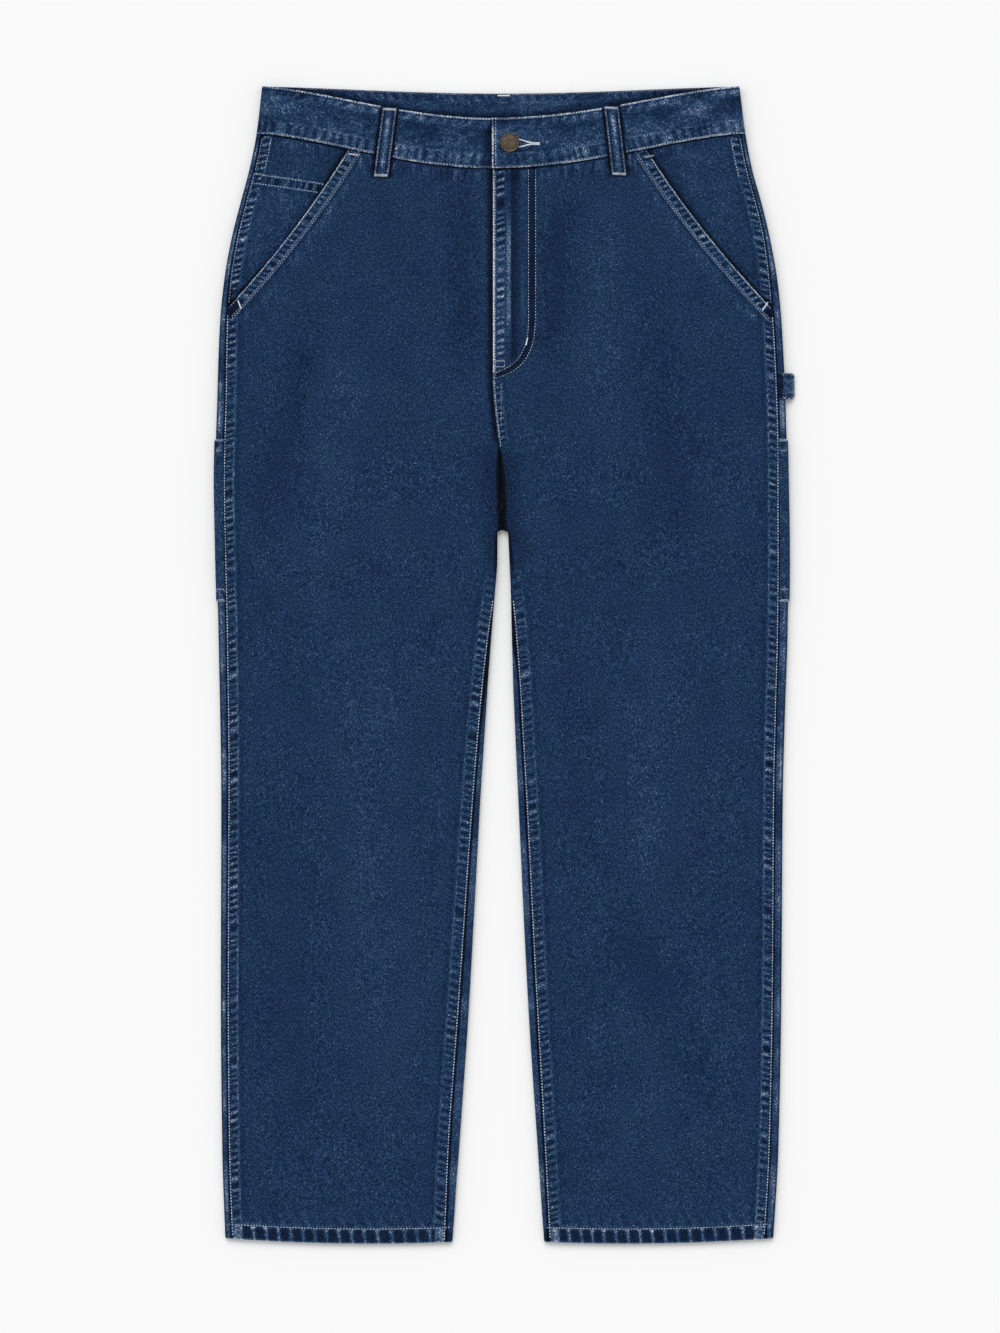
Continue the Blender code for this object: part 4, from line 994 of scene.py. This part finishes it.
def make_tool_pocket(half):
    out, z, n_out, n_z, start, end = path_net(half, TOOL_ROWS, tool_path, STRIP_COLUMNS, 22, INNER_COLUMNS)
    row = along_rows(TOOL_ROWS, out)
    ends = np.minimum(row - TOOL_ROWS[0], TOOL_ROWS[-1] - row)
    h, tone = sewn_edge(ends, half.side * out, 131, width=13, rise=0.0, ripple=0.08, wear=0.3)
    tone += 0.4 * bell(ends, 0.4, 1.0) + 0.3 * bell(ends, 9.5, 2.2) * (0.6 + 0.4 * uneven(end, 2.2, 133))
    out_by = GAP + CLOTH + np.minimum(h, 0.0)
    points = net_to_world(half, out - n_out * out_by, row, z - n_z * out_by)
    return cloth(f"tool_pocket_{half.word}_cloth", points, CLOTH, f"tool_pocket_{half.word}",
                 fade=0.52 + 0.7 * tone, streak=0.0, crush=0.14)


for half in HALVES:
    make_tool_pocket(half)

# %% Belt loops
BACK_LOOPS = (("belt_loop_back_centre", -1.8), ("belt_loop_back_right", -128.0),
              ("belt_loop_back_left", 122.0))


def make_front_loop(loop):
    half = LEFT if loop.x_top > 0 else RIGHT
    top, seam = float(band_down(loop.x_top, 0, True)) + 0.2, float(band_down(loop.x_top, 1, True))
    s = np.array([0, 0.35, 0.8, 1.3, 1.8, 2.4, 3.2, 4.2, 5.2, 6.3])
    wide = np.concatenate([s, LOOP_WIDTH - s[-2::-1]])
    tip = np.array([0, 0.4, 0.9])
    along = np.concatenate([tip, np.arange(1.6, LOOP_LENGTH - 1.2, 1.1), LOOP_LENGTH - tip[::-1]])
    w, t = np.meshgrid(wide, along)
    x = loop.x_top + (loop.x_bottom - loop.x_top) * t / LOOP_LENGTH + w - LOOP_WIDTH / 2
    down = top + t
    base = top_height(half, np.abs(x), down) + GAP
    level = base + (BAND_TOP + 0.4 - base) * (1 - smooth(seam + 1, seam + 9, down)) + STRAP_CLOTH
    edge, end = np.minimum(w, LOOP_WIDTH - w), np.minimum(t, LOOP_LENGTH - t)
    waves = puckers(t, 4.6, int(abs(loop.x_top)))
    height = 0.35 * smooth(3, 10, end) - 0.5 * (1 - smooth(0, 0.8, edge)) - 0.4 * (1 - smooth(0, 0.8, end))
    height += 0.14 * waves * bell(edge, 3, 1.6)
    tone = 0.5 + 0.24 * bell(edge, 0.2, 0.7) - 0.36 * bell(edge, 2.3, 0.8) * (0.7 - 0.3 * waves)
    tone += 0.24 * bell(edge, 6.3, 2.0) * smooth(5, 12, end) * (1 + 0.4 * uneven(t, 7, 145))
    points = np.stack([x, TOP_Y - down, level + height], axis=-1)
    return cloth(f"{loop.node}_cloth", points, STRAP_CLOTH, loop.node, fade=tone, streak=0.0, crush=0.3)


for loop in FRONT_LOOPS:
    make_front_loop(loop)
for node, x in BACK_LOOPS:
    top = float(band_down(x, 0, False)) + 0.2
    left, right, bottom = x - LOOP_WIDTH / 2, x + LOOP_WIDTH / 2, top + LOOP_LENGTH
    corners = [(left, top), (right, top), (right, bottom), (left, bottom)]
    patch(f"{node}_cloth", corners, 0.3, STRAP_CLOTH - 0.3, node, 141, edge_width=3.0, step=1.4)

# %% The hammer loop
HAMMER_TOP, HAMMER_WIDTH, HAMMER_END = 258.3, 23.4, 116.0
HAMMER_PATH = ((-6.2, 9.1), (-1.6, 9.1), (1.6, 7.6), (5.0, 5.0), (8.7, 3.3), (9.2, 1.9), (7.6, 0.5),
               (4.0, 0.1), (0.0, 0.0), (-14.0, 0.0))


def make_hammer_loop():
    edge = float(LEFT.outer(HAMMER_TOP + HAMMER_WIDTH / 2))
    line = rounded([(edge + a, z) for a, z in HAMMER_PATH], 90)
    line = np.array(line + [(out, 0.0) for out in np.linspace(edge - 20, HAMMER_END, 30)])
    s = np.array([0, 0.4, 0.9, 1.5, 2.2, 3.2, 4.6, 6.5, 9, 11.7])
    wide = np.concatenate([s, HAMMER_WIDTH - s[-2::-1]])
    travel = travelled(line)
    w, t = np.meshgrid(wide, travel, indexing="ij")
    edge_s = np.minimum(w, HAMMER_WIDTH - w)
    waves = puckers(t, 6, 151) * bell(edge_s, 4, 2)
    height = (0.1 * waves - 0.35 * (1 - smooth(0, 0.8, edge_s))) * (travel < 14)
    tone = 0.54 + 0.26 * bell(edge_s, 0.4, 1.1) - 0.1 * bell(edge_s, 2.6, 0.9) + 0.08 * bell(edge_s, 7, 3)
    # Painted shadow at the loop's root beside the outseam.
    tone += 0.2 * bell(t, 16.5, 1.8) - 0.3 * (1 - smooth(2.5, 5.5, t)) + 0.06 * waves
    corner = 1.6 * (1 - smooth(0.0, 4.0, edge_s)) ** 2
    reach = line[:, 0] - corner * bell(t, 19, 4.5)
    level = np.maximum(line[:, 1] + height, 0.0)
    points = np.stack([reach, TOP_Y - HAMMER_TOP - w, level], axis=-1)
    return cloth("hammer_loop_cloth", points, 1.2, "hammer_loop", fade=tone, streak=0.0, crush=0.1)


make_hammer_loop()
print(len(CLOTH_PIECES), "cloth pieces")

# %% [markdown]
# ## Stitches
# Topstitching is what makes jeans read as jeans. Each stitch is a short soft bead of thread that dives into
# the cloth at both ends: 2 mm long, 0.4 to 1 mm wide, one every 2.7 mm. A bump texture could fake it, but
# beads catch the light and hold up from any side. The lines are kept as (x, down) points, and each stitch
# finds its own height by looking for the cloth from above, or from below for the underside.

# %% Find the cloth's surface
def surface_tree(objects):
    points, faces = [], []
    for obj in objects:
        base = len(points)
        points += [v.co.copy() for v in obj.data.vertices]
        faces += [[base + i for i in p.vertices] for p in obj.data.polygons]
    return BVHTree.FromPolygons(points, faces)


CLOTH_TREE = surface_tree(CLOTH_PIECES)


def surface_height(x, down, from_below=False):
    """The height of the first cloth met from above or below, in metres, or None."""
    start = Vector((x * MM, (TOP_Y - down) * MM, -0.05 if from_below else 0.05))
    hit = CLOTH_TREE.ray_cast(start, Vector((0, 0, 1 if from_below else -1)))
    return hit[0].z if hit[0] is not None else None


# %% Thread
def thread(name, colour, worn):
    """Polyester and cotton core thread: its colour, and the worn tone that shows in patches."""
    material, shader = new_material(name, Roughness=0.65, IOR=1.5, Specular_IOR_Level=0.2, Sheen_Weight=0.1)
    place = add_node(material, "ShaderNodeTexCoord")
    patches = add_node(material, "ShaderNodeTexNoise", [("Vector", place, "Object")], Scale=160, Detail=3)
    ramp = add_node(material, "ShaderNodeValToRGB", [("Fac", patches, "Fac")], ((0.38, worn), (0.6, colour)))
    material.node_tree.links.new(ramp.outputs["Color"], shader.inputs["Base Color"])
    return material


PALE_THREAD = thread("topstitch_thread_bleached", "#D9E1EA", "#8D9DB4")
GREY_THREAD = thread("topstitch_thread_grey", "#A4AEBB", "#58667A")
RED_THREAD = thread("topstitch_thread_rust", "#B69FA0", "#66565F")
TACK_THREAD = thread("bartack_thread_washed", "#C4C8D2", "#9297A4")
WHITE_THREAD = thread("bartack_thread_white", "#F4F7FC", "#D6DCE6")

# %% Make one bead, then rows of them
STITCH_LENGTH, STITCH_PITCH, STITCH_WIDTH, STITCH_HEIGHT = 1.95, 2.7, 0.62, 0.32
BEAD_STATIONS = ((0.0, 0.4, -0.2), (0.25, 1.0, 1.0), (0.75, 1.0, 1.0), (1.0, 0.4, -0.2))
BEAD_ANGLES = np.radians([0, 60, 120, 180])
STEEPEST = 1.2  # a stitch whose ends differ more in height would bridge two panels


class Stitches:
    """Collects beads and makes them one mesh."""

    def __init__(self, name, material):
        self.name, self.material = name, material
        self.points, self.faces = [], []
        self.count = 0

    def bead(self, start, end, z_start, z_end, width, height, sign):
        """A bead between two (x, down) points at their heights; sign is -1 on the underside."""
        (x0, d0), (x1, d1) = start, end
        length = math.hypot(x1 - x0, d1 - d0)
        side = ((d1 - d0) / length, (x1 - x0) / length)
        base, ring = len(self.points), len(BEAD_ANGLES)
        for t, wide, tall in BEAD_STATIONS:
            x, d, z = x0 + (x1 - x0) * t, d0 + (d1 - d0) * t, z_start + (z_end - z_start) * t
            for angle in BEAD_ANGLES:
                a = math.cos(angle) * width / 2 * wide
                lift = math.sin(angle) * height * tall - 0.12
                point = (x + side[0] * a, TOP_Y - d + side[1] * a, z + sign * lift)
                self.points.append(tuple(value * MM for value in point))
        for s in range(len(BEAD_STATIONS) - 1):
            here, there = base + s * ring, base + (s + 1) * ring
            for k in range(ring):
                n = (k + 1) % ring
                self.faces.append((here + k, here + n, there + n, there + k))
        last = base + (len(BEAD_STATIONS) - 1) * ring
        self.faces.append(tuple(base + k for k in reversed(range(ring))))
        self.faces.append(tuple(last + k for k in range(ring)))
        if sign < 0:
            for f in range(len(self.faces) - 3 * ring - 2, len(self.faces)):
                self.faces[f] = self.faces[f][::-1]
        self.count += 1

    def row(self, path, below=False, pitch=STITCH_PITCH, length=STITCH_LENGTH, width=STITCH_WIDTH, lift=0.0):
        """A row of beads along a line of (x, down) points, raised by lift where it is on a panel's inside."""
        path = np.array(path, float)
        travel = travelled(path)
        for at in np.arange(pitch / 2, travel[-1] - length, pitch):
            ends = [(float(np.interp(a, travel, path[:, 0])), float(np.interp(a, travel, path[:, 1])))
                    for a in (at, at + length)]
            heights = [surface_height(*point, below) for point in ends]
            if None in heights or abs(heights[0] - heights[1]) > STEEPEST * MM:
                continue
            z_start, z_end = (height / MM + lift for height in heights)
            self.bead(*ends, z_start, z_end, width, STITCH_HEIGHT, -1 if below else 1)

    def bartack(self, start, end, width=1.9, below=False, rise=0.5, lift=0.0):
        """A dense bar of thread between two (x, down) points."""
        length = math.hypot(end[0] - start[0], end[1] - start[1])
        ux, ud = (end[0] - start[0]) / length, (end[1] - start[1]) / length
        for i, at in enumerate(np.arange(0.2, length, 0.5)):
            lean = 0.18 * (-1) ** i
            cx, cd = start[0] + ux * at, start[1] + ud * at
            a = (cx + ud * width / 2 - ux * lean, cd - ux * width / 2 - ud * lean)
            b = (cx - ud * width / 2 + ux * lean, cd + ux * width / 2 + ud * lean)
            z = surface_height(cx, cd, below)
            if z is not None:
                self.bead(a, b, z / MM + lift, z / MM + lift, 0.6, rise, -1 if below else 1)

    def finish(self):
        mesh = bpy.data.meshes.new(self.name)
        mesh.from_pydata(self.points, [], self.faces)
        mesh.shade_smooth()
        mesh.materials.append(self.material)
        obj = put_in_scene(self.name, mesh)
        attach(obj, "root")
        print(self.name, self.count, "stitches")

# %% Lines to stitch
def down_the_leg(half, out_of, first, last, step=12.0):
    rows = np.append(np.arange(first, last, step), last)
    return [(half.side * float(out_of(row)), float(front_down(half, out_of(row), row))) for row in rows]


def beside_slash(half, inside, first, last):
    s = half.slash
    lean = (s.end_out - s.top_out) / (s.end_down - s.top_down)
    return [(half.side * float(slash_out(half, d) - inside * math.sqrt(1 + lean**2)), float(d))
            for d in np.linspace(first, last, 24)]


def back_line(half, row, outs):
    """A line along one row of the back, at these distances from the middle."""
    return [(half.side * out, float(back_down(half, out, row))) for out in outs]


def hem_line(half, outs):
    """A line along the top of the hem."""
    return [(half.side * out, float(HEM_SEAM + hem_drop(half, out, HEM_SEAM))) for out in outs]


def band_line(share, shift, first, last, steps=60, on_front=True):
    """A line across the band, this far below its top edge for share 0 or its seam for share 1."""
    return [(x, float(band_down(x, share, on_front)) + shift) for x in np.linspace(first, last, steps)]


def band_runs(share, shift, first, last):
    """A line across the band's front in parts, open where a belt loop lies over it."""
    runs, start = [], first
    for loop in FRONT_LOOPS:
        middle = loop.x_top + (loop.x_bottom - loop.x_top) * share * BAND_HEIGHT / LOOP_LENGTH
        runs.append((start, middle - LOOP_WIDTH / 2 - 0.5))
        start = middle + LOOP_WIDTH / 2 + 0.5
    runs.append((start, last))
    clipped = [(max(a, first), min(b, last)) for a, b in runs]
    return [band_line(share, shift, a, b) for a, b in clipped if b > a]


HEM_SEAM = HEM_ROW - HEM_HEIGHT
pale = Stitches("stitches_pale", PALE_THREAD)
grey = Stitches("stitches_grey", GREY_THREAD)
rust = Stitches("stitches_rust", RED_THREAD)
for half in HALVES:
    s = half.slash
    pale.row(down_the_leg(half, lambda r: outseam_out(half, r) - 1.1, s.end_down + 4, 1035), width=0.95)
    pale.row(down_the_leg(half, lambda r: outseam_out(half, r) - 1.2, 46, s.end_down - 6))
    pale.row(down_the_leg(half, lambda r: half.inner(r) + half.inseam(r) + 1.1, 462, 1035), width=0.95)
    pale.row(beside_slash(half, 0.9, s.top_down + 1, s.end_down - 1))
    for inside, past_end in ((8.4, 7), (10.2, 9)):
        pale.row(beside_slash(half, inside, s.top_down - 2, s.end_down + past_end), width=0.42)
    pale.row(hem_line(half, np.linspace(half.inner(HEM_ROW) + 1, half.outer(HEM_ROW) - 2, 40)), width=0.9)
    for row in (YOKE_AT_SIDE + 2, YOKE_AT_SIDE + 8.5):
        pale.row(back_line(half, row, (outseam_out(half, row) + 1, half.outer(row) - 0.8)))
for half, last in ((RIGHT, 76), (LEFT, 84)):
    pale.row(down_the_leg(half, lambda r: outseam_out(half, r) - 9.4, 46, last))
for shift in (1.2, 9.2):
    pale.row([(x, d + shift) for x, d in COIN_LINE])
side_x = (-LEFT.outer(0) - 3, LEFT.outer(0) - 4)
for share, shift, first, last in ((0, 1.3, FLY_X, side_x[1]), (0, 1.3, side_x[0], FLY_X - 1),
                                  (1, -1.5, side_x[0], -26), (1, -1.5, 32, side_x[1])):
    for run in band_runs(share, shift, first, last):
        pale.row(run)
rust.row(band_line(1, -1.5, -26, 32, 20))
inside_top = band_line(0, 1.2, -190, 185, 120, on_front=False)
rust.row([(x, d) for x, d in inside_top if float(band_down(x, 0, True)) - d > 2.0], lift=BAND_CLOTH)
edge_top = float(band_down(FLY_X, 0, True))
pale.row([(FLY_X + 2.4, edge_top + 1.5), (FLY_X + 2.4, edge_top + 44)])
pale.row([(FLY_X + 1.8, 74), (FLY_X + 1.8, FLY_END)])
pale.row([(float(FLY_LINE(row)) + 1.5, row) for row in np.arange(FLY_END + 1, FORK + 8, 6)], width=0.7)
for line in (J_OUTER, J_INNER):
    pale.row(line, width=0.6)
for x in (-8.8, -0.4):
    pale.row([(x, 246.2), (x, 254.4)], width=0.6)
pale.row([(-3.6, FLY_END + 3), (-3.4, 306)], width=0.42)
for loop in FRONT_LOOPS:
    top = float(band_down(loop.x_top, 0, True)) + 1.5
    for offset in (-5.1, 5.1):
        grey.row([(loop.x_top + offset, top), (loop.x_bottom + offset, top + LOOP_LENGTH - 3)], width=0.5)
for inset in (2.2, HAMMER_WIDTH - 2.2):
    rust.row([(LEFT.outer(270) - 4, HAMMER_TOP + inset), (LEFT.outer(270) + 7.5, HAMMER_TOP + inset)])
pale.finish()
grey.finish()
rust.finish()

# %% Lines on the underside
below = Stitches("stitches_underside", PALE_THREAD)
for half in HALVES:
    outs = np.linspace(half.side * SEAT_X + 2, half.outer(YOKE_AT_SIDE) - 5, 30)
    for row in (YOKE_AT_SIDE + 2.4, YOKE_AT_SIDE + 8.8):
        below.row(back_line(half, row, outs), below=True)
    corners = seat_pocket_corners(half)
    outline = [corners[0], corners[3], corners[4], corners[2], corners[1]]
    centre = np.mean(np.array(outline), axis=0)
    for inside in (1.8, 8.2):
        below.row([tuple(centre + (np.array(c) - centre) * (1 - inside / 70)) for c in outline], below=True)
    across_top = np.array(corners[1]) - np.array(corners[0])
    for inside in (2.0, 14.0):
        ends = [np.array(corners[0]) + across_top * t + (0, inside) for t in (0.03, 0.97)]
        below.row([tuple(end) for end in ends], below=True)
    for row in (TOOL_ROWS[0] + 2, TOOL_ROWS[0] + 14, TOOL_ROWS[-1] - 2):
        below.row([(half.side * (half.outer(row) - a), row) for a in (6, TOOL_WIDTH - 2)], below=True)
    below.row([(half.side * (half.outer(row) - TOOL_WIDTH + 2), row)
               for row in (TOOL_ROWS[0] + 1, TOOL_ROWS[-1] - 1)], below=True)
    below.row(hem_line(half, np.linspace(half.inner(HEM_SEAM) + 4, half.outer(HEM_SEAM) - 4, 20)), below=True)
for offset in (2.0, 8.0):
    below.row([(SEAT_X + offset, 130), (SEAT_X + offset, 392)], below=True)
for share, shift in ((0, 2.0), (1, -2.0)):
    below.row(band_line(share, shift, -205, 200, on_front=False), below=True)
for node, x in BACK_LOOPS:
    top = float(band_down(x, 0, False)) + 0.2
    for offset in (-5.0, 5.0):
        below.row([(x + offset, top + 2), (x + offset, top + LOOP_LENGTH - 3)], below=True)
below.finish()

# %% [markdown]
# ## Bartacks and the buttonhole
# A bartack is a bar of tight zigzag that holds a strained end: at the pocket corners, both ends of each
# belt loop and the foot of the fly. The buttonhole is a slit with thread wound over both its lips, drawn
# together at its far end. Both are beads laid side by side across the bar.

# %% Sew them
SLASH_TOP_TACKS = (((-141.0, 61.2), (-131.6, 62.4)), ((125.6, 64.4), (133.6, 62.6)))
BACK_MARK, FLY_TACK = ((-6.6, 8.4), (4.6, 8.4)), ((20.3, 226.5), (18.9, 233.5))
tacks = Stitches("bartacks_washed", TACK_THREAD)
for loop in FRONT_LOOPS:
    top = float(band_down(loop.x_top, 0, True))
    tacks.bartack((loop.x_top - 5.8, top + 1.5), (loop.x_top + 5.8, top + 1.9), width=2.4)
    bottom = top + LOOP_LENGTH
    tacks.bartack((loop.x_bottom - 5.8, bottom - 1.4), (loop.x_bottom + 5.8, bottom - 1.0), width=2.6)
for node, x in BACK_LOOPS:
    top = float(band_down(x, 0, False)) + 0.2
    tacks.bartack((x - 5.5, top + 2.0), (x + 5.5, top + 2.0), below=True)
    tacks.bartack((x - 5.5, top + LOOP_LENGTH - 2), (x + 5.5, top + LOOP_LENGTH - 2), below=True)
for ends in SLASH_TOP_TACKS:
    tacks.bartack(*ends)
for down in (247.6, 252.8):
    tacks.bartack((-8.8, down), (-0.2, down), width=0.9)
for half in HALVES:
    for row in (TOOL_ROWS[0] + 1.6, TOOL_ROWS[0] + 10.2, TOOL_ROWS[-1] - 11.0, TOOL_ROWS[-1] - 1.6):
        ends = [(half.side * out, row) for out in (outseam_out(half, row) + 1.3, half.outer(row) - 0.6)]
        tacks.bartack(*ends, width=0.7, rise=0.35)
tacks.finish()
white = Stitches("bartacks_white", WHITE_THREAD)
for half in HALVES:
    tack = FOOT_TACKS[half.word]
    white.bartack((half.side * tack.out0, tack.down0), (half.side * tack.out1, tack.down1), width=1.5)
white.bartack(*BACK_MARK, width=1.5, lift=BAND_CLOTH)
white.bartack(*FLY_TACK, width=1.3)
white.finish()

BUTTON_X, BUTTON_DOWN, HOLE_END_X = 4.2, 51.7, 31.0
hole = Stitches("buttonhole", WHITE_THREAD)
for t in np.linspace(0, 1, 34):
    x = BUTTON_X + 6.0 + (HOLE_END_X - BUTTON_X - 6.0) * t
    spread = 3.0 * (1 - smooth(0.0, 0.72, t)) + 0.55
    for side in (-1, 1):
        z = surface_height(x, BUTTON_DOWN + side * spread) / MM
        middle = BUTTON_DOWN + 0.6 * t
        lip, rim = middle + side * (spread - 0.75), middle + side * (spread + 0.85)
        hole.bead((x, lip), (x + 0.1, rim), z, z, 0.75, 0.6, 1)
hole.finish()

# %% [markdown]
# ## The button
# A shank button is stamped from brass and plated to an antique bronze: a low cap with a rolled rim, joined
# through the cloth to a tack behind. It is a turned shape, so its profile is spun round its axis. The
# plating has worn brighter on the rim and holds dark wax in its hollows, and its face is hammered lightly.

# %% Antique bronze, plated
BRONZE, bronze_shader = new_material("antique_bronze_plated", Metallic=1.0, Roughness=0.48)
place = add_node(BRONZE, "ShaderNodeTexCoord")
dents = add_node(BRONZE, "ShaderNodeTexNoise", [("Vector", place, "Object")], Scale=900, Detail=3)
PATINA_STOPS = ((0.35, "#3C342C"), (0.68, "#6E6356"))
patina = add_node(BRONZE, "ShaderNodeValToRGB", [("Fac", dents, "Fac")], PATINA_STOPS)
BRONZE.node_tree.links.new(patina.outputs["Color"], bronze_shader.inputs["Base Color"])
dent_bump = add_node(BRONZE, "ShaderNodeBump", [("Height", dents, "Fac")], Strength=0.5, Distance=0.0002)
BRONZE.node_tree.links.new(dent_bump.outputs["Normal"], bronze_shader.inputs["Normal"])

# %% Spin the button
BUTTON_PROFILE = ((0.0, 3.38), (3.0, 3.42), (5.6, 3.45), (6.3, 3.38), (6.7, 3.2), (7.0, 3.25), (7.3, 3.55),
                  (7.8, 3.7), (8.3, 3.62), (8.7, 3.3), (8.8, 2.9), (8.6, 2.4), (8.2, 2.1), (7.6, 2.0),
                  (3.4, 1.9), (3.4, 0.0), (0.0, 0.0))
BUTTON_FOOT = 9.6


def spin(name, profile, centre, material, steps=72):
    points, faces = [], []
    for radius, z in profile:
        for k in range(steps):
            a = 2 * math.pi * k / steps
            points.append(((centre[0] + radius * math.cos(a)) * MM, (centre[1] + radius * math.sin(a)) * MM,
                           (centre[2] + z) * MM))
    for p in range(len(profile) - 1):
        for k in range(steps):
            a, b = p * steps + k, p * steps + (k + 1) % steps
            faces.append((a, a + steps, b + steps, b))
    mesh = bpy.data.meshes.new(name)
    mesh.from_pydata(points, [], faces)
    mesh.validate()
    mesh.shade_smooth()
    mesh.materials.append(material)
    return put_in_scene(name, mesh)


button = spin("button_bronze", BUTTON_PROFILE, (BUTTON_X, TOP_Y - BUTTON_DOWN, BUTTON_FOOT), BRONZE)
weld = button.modifiers.new("weld", "WELD")
weld.merge_threshold = 0.00001
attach(button, "root")
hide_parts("button")

# %% [markdown]
# ## Each half's word


for half in HALVES:
    word = half.word

# %% [markdown]
# ## Table, light and camera
# The jeans lie on a white table under a large soft light from above and a bright room, so that shadows stay
# thin and pale. The camera hangs straight above, far away with a long lens, as for a catalogue picture.

# %% Floor
FLOOR, _ = new_material("white_table_top_matt", Roughness=0.95, Base_Color=linear("#FAFAFA"))
FLOOR_REACH, FLOOR_DEPTH = 6.0, 0.0002
floor_mesh = bpy.data.meshes.new("floor")
floor_corners = [(x * FLOOR_REACH, y * FLOOR_REACH, 0) for x, y in ((-1, -1), (1, -1), (1, 1), (-1, 1))]
floor_mesh.from_pydata(floor_corners, [], [(0, 1, 2, 3)])
floor_mesh.materials.append(FLOOR)
floor = put_in_scene("floor", floor_mesh)
floor.location.z = -FLOOR_DEPTH

# %% Light
world = bpy.data.worlds.new("studio")
world.use_nodes = True
world.node_tree.nodes["Background"].inputs["Color"].default_value = (1, 1, 1, 1)
world.node_tree.nodes["Background"].inputs["Strength"].default_value = 0.6
bpy.context.scene.world = world
bpy.context.scene.view_settings.view_transform = "Standard"


def soft_sun(name, elevation, azimuth, strength):
    """A softbox so large and far that it lights the whole table evenly."""
    light = bpy.data.lights.new(name, "SUN")
    light.angle, light.energy = math.radians(40), strength
    put_in_scene(name, light).rotation_euler = (0, math.radians(90 - elevation), math.radians(azimuth))


soft_sun("softbox_above", 50, 97, 1.3)
soft_sun("softbox_left", 40, 150, 0.4)

# %% Camera
PHOTO_HEIGHT, MM_PER_PIXEL = 1333, 0.9
MIDDLE_X, MIDDLE_Y, DISTANCE = -4.5, -0.45, 4.0
camera_data = bpy.data.cameras.new("camera")
camera_data.sensor_width = 36.0
camera_data.lens = 36.0 * DISTANCE / (PHOTO_HEIGHT * MM_PER_PIXEL * MM)
camera = put_in_scene("camera", camera_data)
camera.location = (MIDDLE_X * MM, MIDDLE_Y * MM, DISTANCE + 0.006)
bpy.context.scene.camera = camera
print("lens", round(camera_data.lens, 1), "mm")
